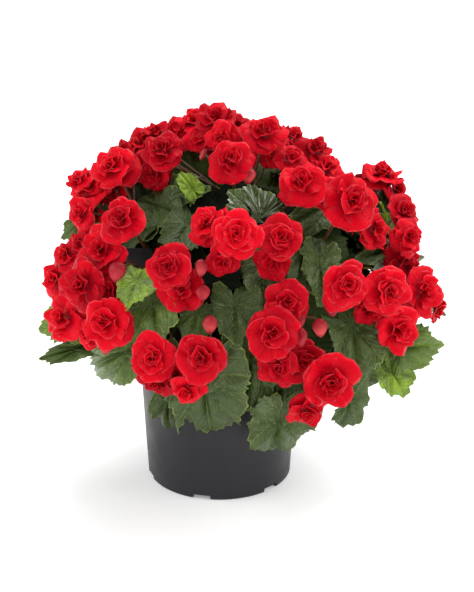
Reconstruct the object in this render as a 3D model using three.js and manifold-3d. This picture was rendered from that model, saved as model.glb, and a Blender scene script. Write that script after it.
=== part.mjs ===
// A potted begonia: a double red winter-flowering begonia, in bloom, in a dark nursery pot.
// Millimetres, +Z up. The origin is the centre of the pot's flat base, on the surface that it stands on, and
// the front of the plant faces -Y.
// The pot holds the soil. Nine leafy stems stand in plain holes in the soil, and sprays of double blooms and
// buds grow from them, in a dome that leans a little to the right and hangs over the rim.

import * as THREE from "three";
import { mergeVertices } from "three/addons/utils/BufferGeometryUtils.js";
import Module from "manifold-3d";

const wasm = await Module();
wasm.setup();

const DEGREE = Math.PI / 180;
const FULL_TURN = 2 * Math.PI;

// The pot, a thin moulded cup with a lip and six drainage notches where the wall meets the base.
const pot = { rim: 170, base: 150, height: 148, wall: 1.4, floor: 1.8, lipHeight: 9, lipProud: 2, sides: 30 };
const notch = { count: 6, first: -14 * DEGREE, width: 19, height: 5, depth: 11 };
const soil = { top: 133, gap: 0.3, lump: 2.4, sides: 20 };

// The plain label that stands in the soil at the left of the plant.
const label = { width: 34, thickness: 0.8, foot: [-46, -34, 95], head: [-80, -52, 268], turn: 24 * DEGREE };

// The dome that the middles of the blooms lie on.
const dome = { centre: new THREE.Vector3(26, 0, 187), radius: 192 };

// Stems and stalks: half their thickness.
const stem = {
  half: 4.2,
  sides: 5,
  steps: 5,
  count: 8,
  footRing: 27,
  kneeRing: 35,
  kneeRise: 30,
  tipRing: 84,
  tipHeight: 236,
  rootDepth: 26,
  heartTop: 296,
  knotSpacing: 8,
};
const stalk = { petiole: 1.7, peduncle: 1.7, pedicel: 1.3, neck: 7 };
const clearance = 0.35;

// A leaf's blade: its teeth and how deep they are cut, how far its middle is from its heart on the way to its
// tip, and the half width of its heel.
const leafBlade = { thickness: 2, teeth: 16, cut: 0.07, middle: 0.24, heel: 1.8 };

// The plant is laid out as it looks from the front: a place is a point of a picture of 474 x 592 points, seen
// by an eye 1.75 m in front and 0.9 m up, and a distance out from the dome or in from it.
const sight = {
  eye: new THREE.Vector3(18.7, -1750, 900),
  pitch: 21.9 * DEGREE,
  focus: 1837,
  middle: { across: 237, down: 296 },
};

// Each bloom is [across, down, size, lift, turn, nod]: where its middle is seen, how wide it looks there, how
// far out of the dome it stands, and how far it turns to the right and nods down, in degrees. Each bud is
// [across, down, size, lift].
const sprays = {
  brow_left: { blooms: [[90, 188, 38, 0], [80, 213, 28, -6, 0, 20], [78, 180, 22, -22]] },
  crown_far_left: { blooms: [[112, 167, 38, 0], [125, 150, 27, -14], [114, 191, 30, -16, 0, 20]] },
  crown_left: { blooms: [[162, 149, 43, 2], [143, 142, 30, -16], [155, 132, 24, -26]] },
  crown_left_under: { blooms: [[154, 171, 32, -18, 10, 50], [131, 171, 24, -12, -30, 10]] },
  crown_mid_left: { blooms: [[175, 134, 36, -8], [194, 121, 34, -12], [199, 138, 24, -24, 0, 20]] },
  crown_mid: { blooms: [[215, 118, 34, -4], [234, 125, 24, -14], [221, 138, 28, -8, -20, 40]] },
  crown_heart: {
    blooms: [[231, 159, 44, 2]],
    buds: [[248, 176, 17, -10], [203, 155, 13, -22], [214, 160, 13, -24]],
  },
  crown_right: { blooms: [[264, 132, 42, 2], [275, 150, 30, -14, 0, 30]] },
  crown_far_right: { blooms: [[292, 137, 30, -12], [316, 148, 28, -4], [291, 158, 28, -20]] },
  brow_right: { blooms: [[302, 182, 40, 0, -25, 0], [323, 192, 34, -10], [327, 168, 32, -8]] },
  right_top: { blooms: [[352, 200, 52, 4], [375, 228, 36, -2, 20, 0]] },
  right_peak: { blooms: [[382, 174, 42, -4, 0, -35], [395, 188, 30, -14, 20, 20]] },
  right_edge_upper: { blooms: [[403, 211, 28, 0], [409, 236, 30, 0]] },
  right_edge: { blooms: [[405, 264, 36, 2], [423, 291, 40, 2], [437, 309, 24, -2, 20, 25]] },
  right_front: { blooms: [[347, 285, 46, 4], [371, 311, 25, -8, 0, 20]], buds: [[332, 308, 16, -8]] },
  right_low: { blooms: [[388, 291, 48, 0], [398, 329, 38, 2]] },
  middle_low: {
    blooms: [[287, 302, 36, -6], [272, 333, 42, 4]],
    buds: [[299, 321, 14, -4], [301, 337, 18, 0], [320, 328, 17, -6]],
  },
  low_right: {
    blooms: [[330, 381, 52, 6], [308, 411, 42, 4, 0, 30], [279, 367, 34, 0], [304, 362, 38, -16]],
  },
  middle: { blooms: [[237, 234, 46, 4], [207, 224, 38, -6, -35, 0], [222, 262, 27, -20, 0, 30]] },
  middle_right: { blooms: [[281, 238, 43, 2], [274, 264, 28, -14, 0, 30]] },
  left_middle: {
    blooms: [[168, 266, 44, 2], [183, 289, 37, 2]],
    buds: [[201, 268, 16, -12], [203, 293, 15, -24]],
  },
  low_middle: { blooms: [[201, 357, 45, 2], [187, 391, 28, -4, 0, 25]], buds: [[210, 325, 17, -8]] },
  low_left: { blooms: [[152, 358, 43, 4], [157, 382, 28, -6, 0, 30], [177, 374, 26, -20]] },
  left_upper: { blooms: [[122, 219, 43, 4], [92, 222, 26, -8]] },
  left: {
    blooms: [[102, 249, 40, 0], [82, 244, 30, -12]],
    buds: [[92, 273, 18, 4], [117, 272, 19, -4]],
  },
  left_edge: { blooms: [[66, 255, 28, -6], [57, 279, 34, 0]] },
  left_low: { blooms: [[82, 285, 40, 0], [110, 292, 28, -8]] },
  left_low_edge: { blooms: [[63, 318, 38, 2]] },
  left_low_front: { blooms: [[106, 322, 41, 2], [88, 334, 22, -12]], buds: [[106, 346, 16, 2]] },
};

// Sprays that have a twin half a turn round the dome, on the side that the front doesn't show.
const backSprays = [
  "right_front", "right_low", "middle_low", "low_right", "middle", "middle_right", "left_middle", "low_middle",
  "low_left", "left", "left_low", "left_low_front",
];

// Each leaf is [[across, down, lift] of its heart, where the stalk joins it, the same of its tip, width].
const leaves = {
  wide_left: [[154, 299, -42], [156, 338, -4], 62],
  bright_left: [[139, 279, -30], [125, 304, -8], 38],
  puckered: [[234, 303, -46], [237, 342, -24], 44],
  grey_middle: [[264, 256, -62], [263, 306, -40], 50],
  glossy: [[259, 219, -58], [231, 190, -34], 52],
  valley_left: [[163, 208, -56], [128, 197, -38], 40],
  valley_right: [[167, 208, -56], [199, 187, -34], 44],
  toothed_left: [[193, 214, -60], [168, 247, -34], 48],
  dark_crown: [[222, 207, -74], [206, 183, -66], 50],
  edge_right: [[332, 206, -50], [291, 221, -36], 38],
  dark_right: [[322, 230, -72], [322, 276, -46], 56],
  grey_right: [[303, 254, -56], [298, 293, -40], 38],
  green_right: [[319, 262, -50], [321, 302, -30], 36],
  right_middle: [[350, 322, -46], [359, 375, -16], 60],
  right_big: [[391, 347, -52], [440, 347, -14], 56],
  right_under: [[388, 364, -58], [408, 389, -34], 40],
  right_bottom: [[349, 388, -50], [343, 431, -40], 36],
  hanging_right: [[281, 414, -52], [269, 455, -38], 62],
  front_right: [[288, 378, -52], [263, 429, -44], 60],
  front_dark: [[251, 344, -46], [244, 411, -36], 58],
  front_big: [[205, 380, -50], [208, 443, -40], 76],
  hanging_left: [[172, 388, -56], [166, 437, -38], 34],
  left_big: [[140, 345, -46], [86, 369, -14], 54],
  left_far: [[79, 317, -46], [41, 328, -8], 44],
  left_thin: [[84, 346, -56], [39, 359, -16], 20],
  left_high: [[86, 222, -34], [62, 236, -6], 30],
  bright_low: [[201, 308, -50], [185, 340, -32], 38],
  right_high: [[388, 250, -46], [358, 256, -30], 34],
  right_bright: [[398, 250, -50], [386, 208, -30], 30],
  crown_left: [[196, 176, -62], [185, 151, -44], 32],
  crown_right: [[277, 206, -74], [263, 184, -64], 38],
  right_shade: [[352, 362, -58], [363, 395, -42], 40],
  left_shade: [[102, 334, -54], [85, 352, -32], 32],
  young_left: [[186, 191, -58], [171, 172, -44], 28],
  shade_right: [[322, 296, -74], [314, 352, -62], 60],
  shade_left: [[110, 262, -66], [96, 306, -54], 54],
  crown_shade: [[224, 196, -62], [216, 158, -48], 56],
  crown_shade_left: [[172, 196, -60], [178, 160, -46], 46],
  crown_shade_right: [[262, 192, -60], [280, 162, -48], 46],
  right_gap: [[346, 258, -66], [366, 228, -58], 46],
};

// Leaves that have a twin half a turn round, and those that have one a quarter turn to either side.
const backLeaves = [
  "wide_left", "puckered", "grey_middle", "toothed_left", "dark_right", "right_middle", "right_big",
  "right_bottom", "hanging_right", "front_right", "front_dark", "front_big", "left_big", "left_far",
  "bright_low",
];
const sideLeaves = ["puckered", "grey_middle", "shade_right", "toothed_left", "front_dark"];

const materials = {
  pot: new THREE.MeshStandardMaterial({ color: 0x3d3a3f, roughness: 0.5, metalness: 0 }),
  soil: new THREE.MeshStandardMaterial({ color: 0x2a1f17, roughness: 1, metalness: 0 }),
  label: new THREE.MeshStandardMaterial({ color: 0x17151a, roughness: 0.4, metalness: 0 }),
  leaf: new THREE.MeshStandardMaterial({ color: 0x4e6130, roughness: 0.45, metalness: 0 }),
  petal: new THREE.MeshStandardMaterial({ color: 0xd60618, roughness: 0.5, metalness: 0 }),
};

const vector = (x, y, z) => new THREE.Vector3(x, y, z);
const up = vector(0, 0, 1);

// A closed three.js geometry as a solid that can be joined and cut.
function solidOf(geometry) {
  const bare = new THREE.BufferGeometry();
  bare.setAttribute("position", geometry.getAttribute("position"));
  if (geometry.index) bare.setIndex(geometry.index);
  const merged = mergeVertices(bare, 1e-3);
  return new wasm.Manifold(
    new wasm.Mesh({
      numProp: 3,
      vertProperties: merged.attributes.position.array,
      triVerts: new Uint32Array(merged.index.array),
    }),
  );
}

function geometryOf(solid) {
  const made = solid.getMesh();
  const geometry = new THREE.BufferGeometry();
  geometry.setAttribute("position", new THREE.BufferAttribute(Float32Array.from(made.vertProperties), 3));
  geometry.setIndex(new THREE.BufferAttribute(Uint32Array.from(made.triVerts), 1));
  return geometry;
}

const join = (solids) => wasm.Manifold.union(solids);

// The largest connected piece: what a cut leaves loose is dropped.
function mainPiece(solid) {
  const pieces = solid.decompose();
  return pieces.reduce((best, next) => (next.volume() > best.volume() ? next : best));
}

const boxOf = (solid) => {
  const box = solid.boundingBox();
  return new THREE.Box3(vector(...box.min), vector(...box.max));
};

// The rooms that could meet a solid.
function roomsNear(solid, rooms) {
  const box = boxOf(solid);
  return rooms.filter((room) => boxOf(room).intersectsBox(box));
}

// What is left of a solid when rooms that others take up are cut from it.
function clearOf(solid, rooms) {
  const near = roomsNear(solid, rooms);
  return near.length ? mainPiece(solid.subtract(join(near))) : solid;
}

// How much of a solid lies in rooms that others take up, in cubic millimetres.
function crossing(solid, rooms) {
  const near = roomsNear(solid, rooms);
  return near.length ? solid.intersect(join(near)).volume() : 0;
}

// Of several places to put a piece, the one that crosses least and is moved least. Each choice has a room and
// a shift, and a crossing of so many cubic millimetres weighs as much as a shift of one millimetre.
function clearest(choices, rooms, crossingPerShift) {
  const scored = choices.map((choice) => ({
    choice,
    cost: crossing(choice.room, rooms) / crossingPerShift + Math.abs(choice.shift),
  }));
  return scored.reduce((best, next) => (next.cost < best.cost ? next : best)).choice;
}

// The triangles between two closed rings, each a list of [angle, number of the point], angles rising.
function between(lower, upper) {
  const triangles = [];
  const angleAt = (ring, i) => ring[i % ring.length][0] + FULL_TURN * Math.floor(i / ring.length);
  const pointAt = (ring, i) => ring[i % ring.length][1];
  let i = 0;
  let j = 0;
  while (i < lower.length || j < upper.length) {
    const isLowerNext = i < lower.length && angleAt(lower, i + 1) <= angleAt(upper, j + 1);
    if (j >= upper.length || isLowerNext) {
      triangles.push(pointAt(lower, i), pointAt(lower, i + 1), pointAt(upper, j));
      i++;
    } else {
      triangles.push(pointAt(lower, i), pointAt(upper, j + 1), pointAt(upper, j));
      j++;
    }
  }
  return triangles;
}

// A solid whose skin runs through closed rings, each a list of [angle, place] with the angles rising, from a
// flat first ring to the last, and then to a point.
function skinned(rings, point) {
  const points = [];
  const numbered = rings.map((ring) => ring.map(([angle, place]) => [angle, points.push(place) - 1]));
  const end = points.push(point) - 1;
  const first = numbered[0].map(([, number]) => number);
  const faces = first.slice(2).flatMap((_, i) => [first[0], first[i + 2], first[i + 1]]);
  for (let k = 1; k < numbered.length; k++) faces.push(...between(numbered[k - 1], numbered[k]));
  const last = numbered.at(-1);
  last.forEach(([, here], i) => faces.push(here, last[(i + 1) % last.length][1], end));
  const geometry = new THREE.BufferGeometry().setFromPoints(points);
  geometry.setIndex(faces);
  return solidOf(geometry);
}

// A head is what a stalk carries, a bloom, a bud or a leaf: where its middle is and which way it faces, and
// its heel, a small three-cornered patch of its back where the stalk joins it, so far behind its middle.
function headAt(place, facing, across, heelHalf, heelBehind) {
  return { place, facing, across, upright: facing.clone().cross(across), heelHalf, heelBehind };
}

// The point of a head at an angle round its facing, so far from its middle and so far forward of it.
const spot = (head, angle, reach, forward) =>
  head.place
    .clone()
    .addScaledVector(head.across, reach * Math.cos(angle))
    .addScaledVector(head.upright, reach * Math.sin(angle))
    .addScaledVector(head.facing, forward);

const corners = [0, 1, 2].map((i) => (i * FULL_TURN) / 3);
const heelRing = (head, room = 0) =>
  corners.map((angle) => [angle, spot(head, angle, head.heelHalf + room, -head.heelBehind)]);

// The three-cornered rings of a stalk along a path that ends at a head's heel, all but the heel itself.
function stalkRings(path, half, head) {
  return path.slice(0, -1).map((place, i) => {
    const direction = path[i + 1].clone().sub(path[Math.max(0, i - 1)]).normalize();
    const lean = new THREE.Quaternion().setFromUnitVectors(head.facing, direction);
    return corners.map((angle) => {
      const offset = spot(head, angle, half, 0).sub(head.place).applyQuaternion(lean);
      return [angle, place.clone().add(offset)];
    });
  });
}

// A round stem along a smooth line, with few sides.
function stemSolid(points, room) {
  const section = new THREE.Shape(
    Array.from({ length: stem.sides }, (_, i) => {
      const angle = (i * FULL_TURN) / stem.sides;
      return new THREE.Vector2(Math.cos(angle), Math.sin(angle)).multiplyScalar(stem.half + room);
    }),
  );
  const line = new THREE.CatmullRomCurve3(points);
  const options = { steps: stem.steps, bevelEnabled: false, extrudePath: line };
  return solidOf(new THREE.ExtrudeGeometry(section, options));
}

// The point of the dome, or of one inside it by the lift, that is seen at a point of the picture.
function seenAt(across, down, lift) {
  const forward = vector(0, Math.cos(sight.pitch), -Math.sin(sight.pitch));
  const upward = vector(0, Math.sin(sight.pitch), Math.cos(sight.pitch));
  const ray = forward
    .addScaledVector(vector(1, 0, 0), (across - sight.middle.across) / sight.focus)
    .addScaledVector(upward, (sight.middle.down - down) / sight.focus)
    .normalize();
  const toCentre = dome.centre.clone().sub(sight.eye);
  const nearest = toCentre.dot(ray);
  const missSquared = toCentre.lengthSq() - nearest * nearest;
  const reach = dome.radius + lift;
  const halfChord = Math.sqrt(Math.max(0, reach * reach - missSquared));
  return sight.eye.clone().addScaledVector(ray, nearest - halfChord);
}

// The same direction, and the same place, so many degrees round the dome's upright axis, where a twin is.
const turnedLook = (look, round) => look.clone().applyAxisAngle(up, round * DEGREE);
const turnedPlace = (place, round) => turnedLook(place.clone().sub(dome.centre), round).add(dome.centre);

// How many millimetres one point of the picture is, at a place.
const pictureScale = (place) => place.distanceTo(sight.eye) / sight.focus;

// Blooms and leaves look outwards, and partly to where the light and the eye are, in front and above.
function lookingOut(place, towardsEye) {
  const out = place.clone().sub(dome.centre).normalize();
  const toEye = sight.eye.clone().sub(place).normalize();
  return out.multiplyScalar(1 - towardsEye).addScaledVector(toEye, towardsEye).normalize();
}

// A bloom's facing, turned to the right and nodding down by so many degrees.
function facingOf(place, turn, nod) {
  const look = lookingOut(place, 0.42).applyAxisAngle(up, turn * DEGREE);
  const level = look.clone().cross(up).normalize();
  return look.applyAxisAngle(level, -nod * DEGREE);
}

// A bloom's form, in shares of its radius. It is a rosette of cups, one in the next, whose rims are cut into
// rounded petals. A petal's two shoulders differ in height, so that each petal laps over the next.
const fullBloom = {
  back: 0.36,
  heel: 0.16,
  heart: 0.52,
  cups: [
    { petals: 5, turn: 0, notch: [0.84, 0.04], shoulders: [[1.04, 0.1], [1, 0.26]], valley: [0.52, 0.06] },
    { petals: 4, turn: 0.5, notch: [0.54, 0.34], shoulders: [[0.76, 0.42]], valley: [0.34, 0.26] },
    { petals: 3, turn: 0.2, notch: [0.26, 0.46], shoulders: [[0.42, 0.6]] },
  ],
};
const smallBloom = {
  back: 0.38,
  heel: 0.2,
  heart: 0.4,
  cups: [
    { petals: 4, turn: 0, notch: [0.82, 0.04], shoulders: [[1.05, 0.1], [1, 0.3]], valley: [0.5, 0.1] },
    { petals: 3, turn: 0.5, notch: [0.42, 0.38], shoulders: [[0.62, 0.54]] },
  ],
};
const fullBloomSize = 44;
const bloomFullness = 1.1;

// The rings of a bloom from its back to its heart: each point is [angle, radius, height].
function bloomRings(form) {
  return form.cups.flatMap((cup) => {
    const step = FULL_TURN / cup.petals;
    const rim = [];
    const valley = [];
    for (let i = 0; i < cup.petals; i++) {
      const start = (i + cup.turn) * step;
      rim.push([start, ...cup.notch]);
      cup.shoulders.forEach(([r, h], k) => {
        const share = cup.shoulders.length === 1 ? 0.5 : 0.25 + 0.48 * k;
        const own = 1 + 0.04 * Math.sin(2.4 * i + 1.7 * k);
        rim.push([start + share * step, r * own, h]);
      });
      if (cup.valley) valley.push([start + 0.5 * step, ...cup.valley]);
    }
    return cup.valley ? [rim, valley] : [rim];
  });
}

const formOf = (size) => (size > fullBloomSize ? fullBloom : smallBloom);

function bloomHead(place, facing, size, spin) {
  const across = up.clone().cross(facing).normalize().applyAxisAngle(facing, spin);
  const form = formOf(size);
  return headAt(place, facing, across, (form.heel * size) / 2, (form.back * size) / 2);
}

function bloomSolid(head, size, stalkPart) {
  const form = formOf(size);
  const radius = size / 2;
  const rings = bloomRings(form).map((ring) =>
    ring.map(([angle, r, h]) => [angle, spot(head, angle, r * radius, h * radius)]),
  );
  return skinned([...stalkPart, heelRing(head), ...rings], spot(head, 0, 0, form.heart * radius));
}

// A plain turned shape about a head's facing, with a profile of [radius, forward].
function turnedSolid(head, profile, sides) {
  const turned = new THREE.LatheGeometry(profile.map(([r, h]) => new THREE.Vector2(r, h)), sides);
  turned.applyQuaternion(new THREE.Quaternion().setFromUnitVectors(vector(0, 1, 0), head.facing));
  turned.translate(head.place.x, head.place.y, head.place.z);
  return solidOf(turned);
}

// The room that a bloom takes up, with its clearance. Its outline is [share of the radius, height].
const roomForm = {
  sides: 8,
  behind: [[0, -0.48], [0.25, -0.44], [1.08, -0.04]],
  front: [[1.08, 0.36], [0.55, 0.68], [0, 0.68]],
};
function bloomRoom(head, size) {
  const radius = size / 2;
  const corner = 1 / Math.cos(Math.PI / roomForm.sides);
  const grown = (r, h, way) => [r * radius * corner + (r > 1 ? clearance : 0), h * radius + way * clearance];
  const profile = [
    ...roomForm.behind.map(([r, h]) => grown(r, h, -1)),
    ...roomForm.front.map(([r, h]) => grown(r, h, 1)),
  ];
  return turnedSolid(head, profile, roomForm.sides);
}

// A closed bud: a faceted bead, longer than it is wide.
const budForm = { half: 0.46, length: 1.1, widest: -0.1, shoulder: [0.78, 0.24], heel: 0.2, sides: 5 };
function budHead(place, facing, size) {
  const across = up.clone().cross(facing).normalize();
  return headAt(place, facing, across, budForm.heel * size, 0.5 * budForm.length * size);
}

function budSolid(head, size, stalkPart) {
  const radius = budForm.half * size;
  const length = budForm.length * size;
  const ringOf = (share, h) =>
    Array.from({ length: budForm.sides }, (_, i) => {
      const angle = (i * FULL_TURN) / budForm.sides;
      return [angle, spot(head, angle, share * radius, h * length)];
    });
  const rings = [ringOf(1, budForm.widest), ringOf(...budForm.shoulder)];
  return skinned([...stalkPart, heelRing(head), ...rings], spot(head, 0, 0, 0.5 * length));
}

function budRoom(head, size) {
  const reach = 1.25 * budForm.half * size + clearance;
  const end = 0.5 * budForm.length * size + clearance;
  const profile = [[0, -end], [reach, -0.6 * end], [reach, 0.6 * end], [0, end]];
  return turnedSolid(head, profile, budForm.sides + 1);
}

// The leaf's shape: how far its edge is from its heart, by the angle from the tip. It is lopsided, as a
// begonia's is.
function leafReach(angle) {
  const turn = Math.abs(angle) / Math.PI;
  const lobe = 0.66 + 0.34 * Math.cos(angle) - 0.1 * Math.sin(2 * angle * Math.sign(angle || 1));
  return lobe * (1 + 0.08 * Math.sin(angle)) + 0.2 * Math.exp(-(((turn - 0.72) / 0.16) ** 2));
}

// A leaf's head: its blade's middle lies a little before its heart on the way to its tip.
function leafHead({ heart, tip, look }) {
  const along = tip.clone().sub(heart).normalize();
  const normal = look.clone().addScaledVector(along, -look.dot(along)).normalize();
  const place = heart.clone().lerp(tip, leafBlade.middle);
  return headAt(place, normal, along, leafBlade.heel, leafBlade.thickness / 2);
}

// The edge of a leaf, with its teeth, as [angle, place]. It droops and waves, and folds up from the midrib.
function leafRim(head, { heart, tip, width }, room, raise) {
  const length = heart.distanceTo(tip);
  const grown = 1 + (3 * room) / width;
  return Array.from({ length: leafBlade.teeth }, (_, i) => {
    const angle = (i * FULL_TURN) / leafBlade.teeth;
    const fromTip = angle > Math.PI ? angle - FULL_TURN : angle;
    const reach = leafReach(fromTip) * (1 + (i % 2 ? -leafBlade.cut : leafBlade.cut));
    const ahead = reach * Math.cos(angle) - leafBlade.middle;
    const aside = 0.8 * reach * Math.sin(angle);
    const height = -0.16 * reach * reach + 0.12 * Math.abs(aside) + 0.03 * Math.sin(3 * angle);
    const place = head.place
      .clone()
      .addScaledVector(head.across, ahead * grown * length)
      .addScaledVector(head.upright, aside * grown * width)
      .addScaledVector(head.facing, height * length + raise);
    return [angle, place];
  });
}

// The blade is thickest in its middle and thins to its edge, and its faces are split into triangles alike.
function leafSolid(head, leaf, stalkPart) {
  const rings = [...stalkPart, heelRing(head), leafRim(head, leaf, 0, 0)];
  return skinned(rings, spot(head, 0, 0, leafBlade.thickness / 2));
}

function leafRoom(head, leaf) {
  const margin = 1.2 * clearance;
  const behind = -leafBlade.thickness / 2 - margin;
  const heel = corners.map((angle) => [angle, spot(head, angle, leafBlade.heel, behind)]);
  const rims = [leafRim(head, leaf, clearance, -margin), leafRim(head, leaf, clearance, margin)];
  return skinned([heel, ...rims], spot(head, 0, 0, leafBlade.thickness / 2 + margin));
}

// The stems: one for each bearing round the pot, counted from the front to the right, and one in the middle.
const bearingStep = FULL_TURN / stem.count;
const bearings = Array.from({ length: stem.count }, (_, i) => i * bearingStep);
const stemLines = bearings.map((bearing) => {
  const towards = vector(Math.sin(bearing), -Math.cos(bearing), 0);
  const root = towards.clone().multiplyScalar(stem.footRing).setZ(soil.top - stem.rootDepth);
  const knee = towards.clone().multiplyScalar(stem.kneeRing).setZ(soil.top + stem.kneeRise);
  const tip = towards.clone().multiplyScalar(stem.tipRing).add(vector(dome.centre.x * 0.8, 0, stem.tipHeight));
  return [root, knee, tip];
});
stemLines.push([
  vector(4, 0, soil.top - stem.rootDepth),
  vector(12, 0, 215),
  vector(dome.centre.x, 0, stem.heartTop),
]);
const heartStem = stemLines.length - 1;

// The stem that carries what grows at a place.
function stemFor(place) {
  const out = place.clone().sub(dome.centre);
  if (out.z > 0.84 * out.length()) return heartStem;
  const bearing = Math.atan2(out.x, -out.y);
  return Math.round((bearing + FULL_TURN) / bearingStep) % bearings.length;
}

// The point of a stem's line at a height.
function stemPointAt(number, height) {
  const line = new THREE.CatmullRomCurve3(stemLines[number]);
  const steps = 40;
  const points = line.getPoints(steps);
  const miss = (point) => Math.abs(point.z - height);
  return points.reduce((best, next) => (miss(next) < miss(best) ? next : best));
}

const stemTop = (number) => stemLines[number][2].z;

// Every leaf and every spray as [name, degrees round the dome], and so its twins.
const withTwins = (table, twins) =>
  Object.keys(table).flatMap((name) => {
    const turns = twins.filter((twin) => twin.names.includes(name)).flatMap((twin) => twin.round);
    return [0, ...turns].map((round) => [name, round]);
  });
const sprayList = withTwins(sprays, [{ names: backSprays, round: [180] }]);
const leafList = withTwins(leaves, [
  { names: backLeaves, round: [180] },
  { names: sideLeaves, round: [90, -90] },
]);
const fullName = ([name, round]) => (round ? `${name}_back` : name);

// The blooms and buds stand along their line of sight where they clear those that stand already. The large
// ones take their places first.
const placedItems = sprayList.flatMap(([name, round]) => {
  const { blooms, buds = [] } = sprays[name];
  const spray = fullName([name, round]);
  return [
    ...blooms.map((seen) => ({ seen, isBud: false, round, spray })),
    ...buds.map((seen) => ({ seen, isBud: true, round, spray })),
  ];
});
const bloomShifts = [0, 4, -4, 8, -8, -12, 12, -16, -20, -26];
const budNod = 30;
const itemRooms = [];
for (const item of placedItems.sort((a, b) => b.seen[2] - a.seen[2])) {
  const [across, down, width, lift, turn = 0, nod = 0] = item.seen;
  const choices = bloomShifts.map((shift) => {
    const seen = seenAt(across, down, lift + shift);
    const place = turnedPlace(seen, item.round);
    const facing = turnedLook(facingOf(seen, turn, item.isBud ? budNod : nod), item.round);
    const size = width * (item.isBud ? 1 : bloomFullness) * pictureScale(seen);
    const spin = 1.3 * across;
    const head = item.isBud ? budHead(place, facing, size) : bloomHead(place, facing, size, spin);
    return { shift, size, head, room: item.isBud ? budRoom(head, size) : bloomRoom(head, size) };
  });
  Object.assign(item, clearest(choices, itemRooms, 12));
  itemRooms.push(item.room);
}

// How much a stalk that comes from a place has to turn at a head's neck: 0 straight on, 1 a right angle.
const turnAt = (head, behind, from) => 1 - behind.clone().sub(from).normalize().dot(head.facing);
const mildTurn = 0.75;

// A stalk to a head, bowed as little as clears the rooms of others. It comes to the heel from behind, with no
// sharp turn.
function clearPath(start, head, half, rooms, sag) {
  const heel = spot(head, 0, 0, -head.heelBehind);
  const behind = spot(head, 0, 0, -head.heelBehind - stalk.neck);
  const span = behind.distanceTo(start);
  const along = behind.clone().sub(start).normalize();
  const side = along.clone().cross(up).normalize();
  const over = side.clone().cross(along);
  const middle = start.clone().lerp(behind, 0.5).addScaledVector(up, sag);
  const bows = [[0, 0], ...[0.12, 0.24, 0.36].flatMap((bow) => [[bow, 0], [-bow, 0], [0, bow], [0, -bow]])];
  const choices = bows.map(([right, rise]) => {
    const isStraight = right === 0 && rise === 0 && sag === 0;
    const bend = middle.clone().addScaledVector(side, right * span).addScaledVector(over, rise * span);
    const path = isStraight ? [start, behind, heel] : [start, bend, behind, heel];
    const sharpness = Math.max(0, turnAt(head, behind, isStraight ? start : bend) - mildTurn);
    const rings = [...stalkRings(path, half + 2 * clearance, head), heelRing(head, 2 * clearance)];
    const shift = span * Math.hypot(right, rise) + 100 * sharpness;
    return { path, shift, room: skinned(rings, spot(head, 0, 0, 0)) };
  });
  return clearest(choices, rooms, 1);
}

// The point of a path that is so far before its end.
function pointBefore(path, distance) {
  let left = distance;
  for (let i = path.length - 1; i > 0; i--) {
    const step = path[i].distanceTo(path[i - 1]);
    if (step >= left) return path[i].clone().lerp(path[i - 1], left / step);
    left -= step;
  }
  return path[0].clone();
}

// Where a branch to a head leaves a main stalk: so far before its end, or further back where it would turn
// sharply at the head's neck.
function forkFor(head, path, distance) {
  const behind = spot(head, 0, 0, -head.heelBehind - stalk.neck);
  const far = 0.85 * path[0].distanceTo(path.at(-1));
  const forks = [0, 1, 2, 3, 4, 5].map((i) => pointBefore(path, Math.min(far, distance + 9 * i)));
  return forks.find((fork) => turnAt(head, behind, fork) < mildTurn) ?? forks.at(-1);
}

// How many sprays have left each stem already. They leave it one below the other.
const knots = stemLines.map(() => 0);

// A spray: a stalk from its stem to its largest bloom, thinner ones that branch from it to the other blooms
// and the buds, and all of these.
function growSpray(name, rooms) {
  const items = placedItems.filter((item) => item.spray === name);
  const sum = items.reduce((total, item) => total.add(item.head.place), vector(0, 0, 0));
  const number = stemFor(sum.divideScalar(items.length));
  const start = stemPointAt(number, stemTop(number) - 2 - stem.knotSpacing * knots[number]);
  knots[number] += 1;
  const ownRooms = [roomyStems[number], ...items.map((item) => item.room)];
  const others = rooms.filter((room) => !ownRooms.includes(room));
  const [first, ...rest] = items;
  const main = clearPath(start, first.head, stalk.peduncle, others, 0);
  const branches = rest.map(({ head }, i) =>
    clearPath(forkFor(head, main.path, 30 + 8 * i), head, stalk.pedicel, others, 0),
  );
  const stalks = [main, ...branches];
  const solids = items.map(({ head, size, isBud }, i) => {
    const rings = stalkRings(stalks[i].path, i ? stalk.pedicel : stalk.peduncle, head);
    return isBud ? budSolid(head, size, rings) : bloomSolid(head, size, rings);
  });
  const stalkRooms = stalks.map((made) => made.room.subtract(roomyStems[number]));
  return { solid: join(solids), others, stalkRooms };
}

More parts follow.
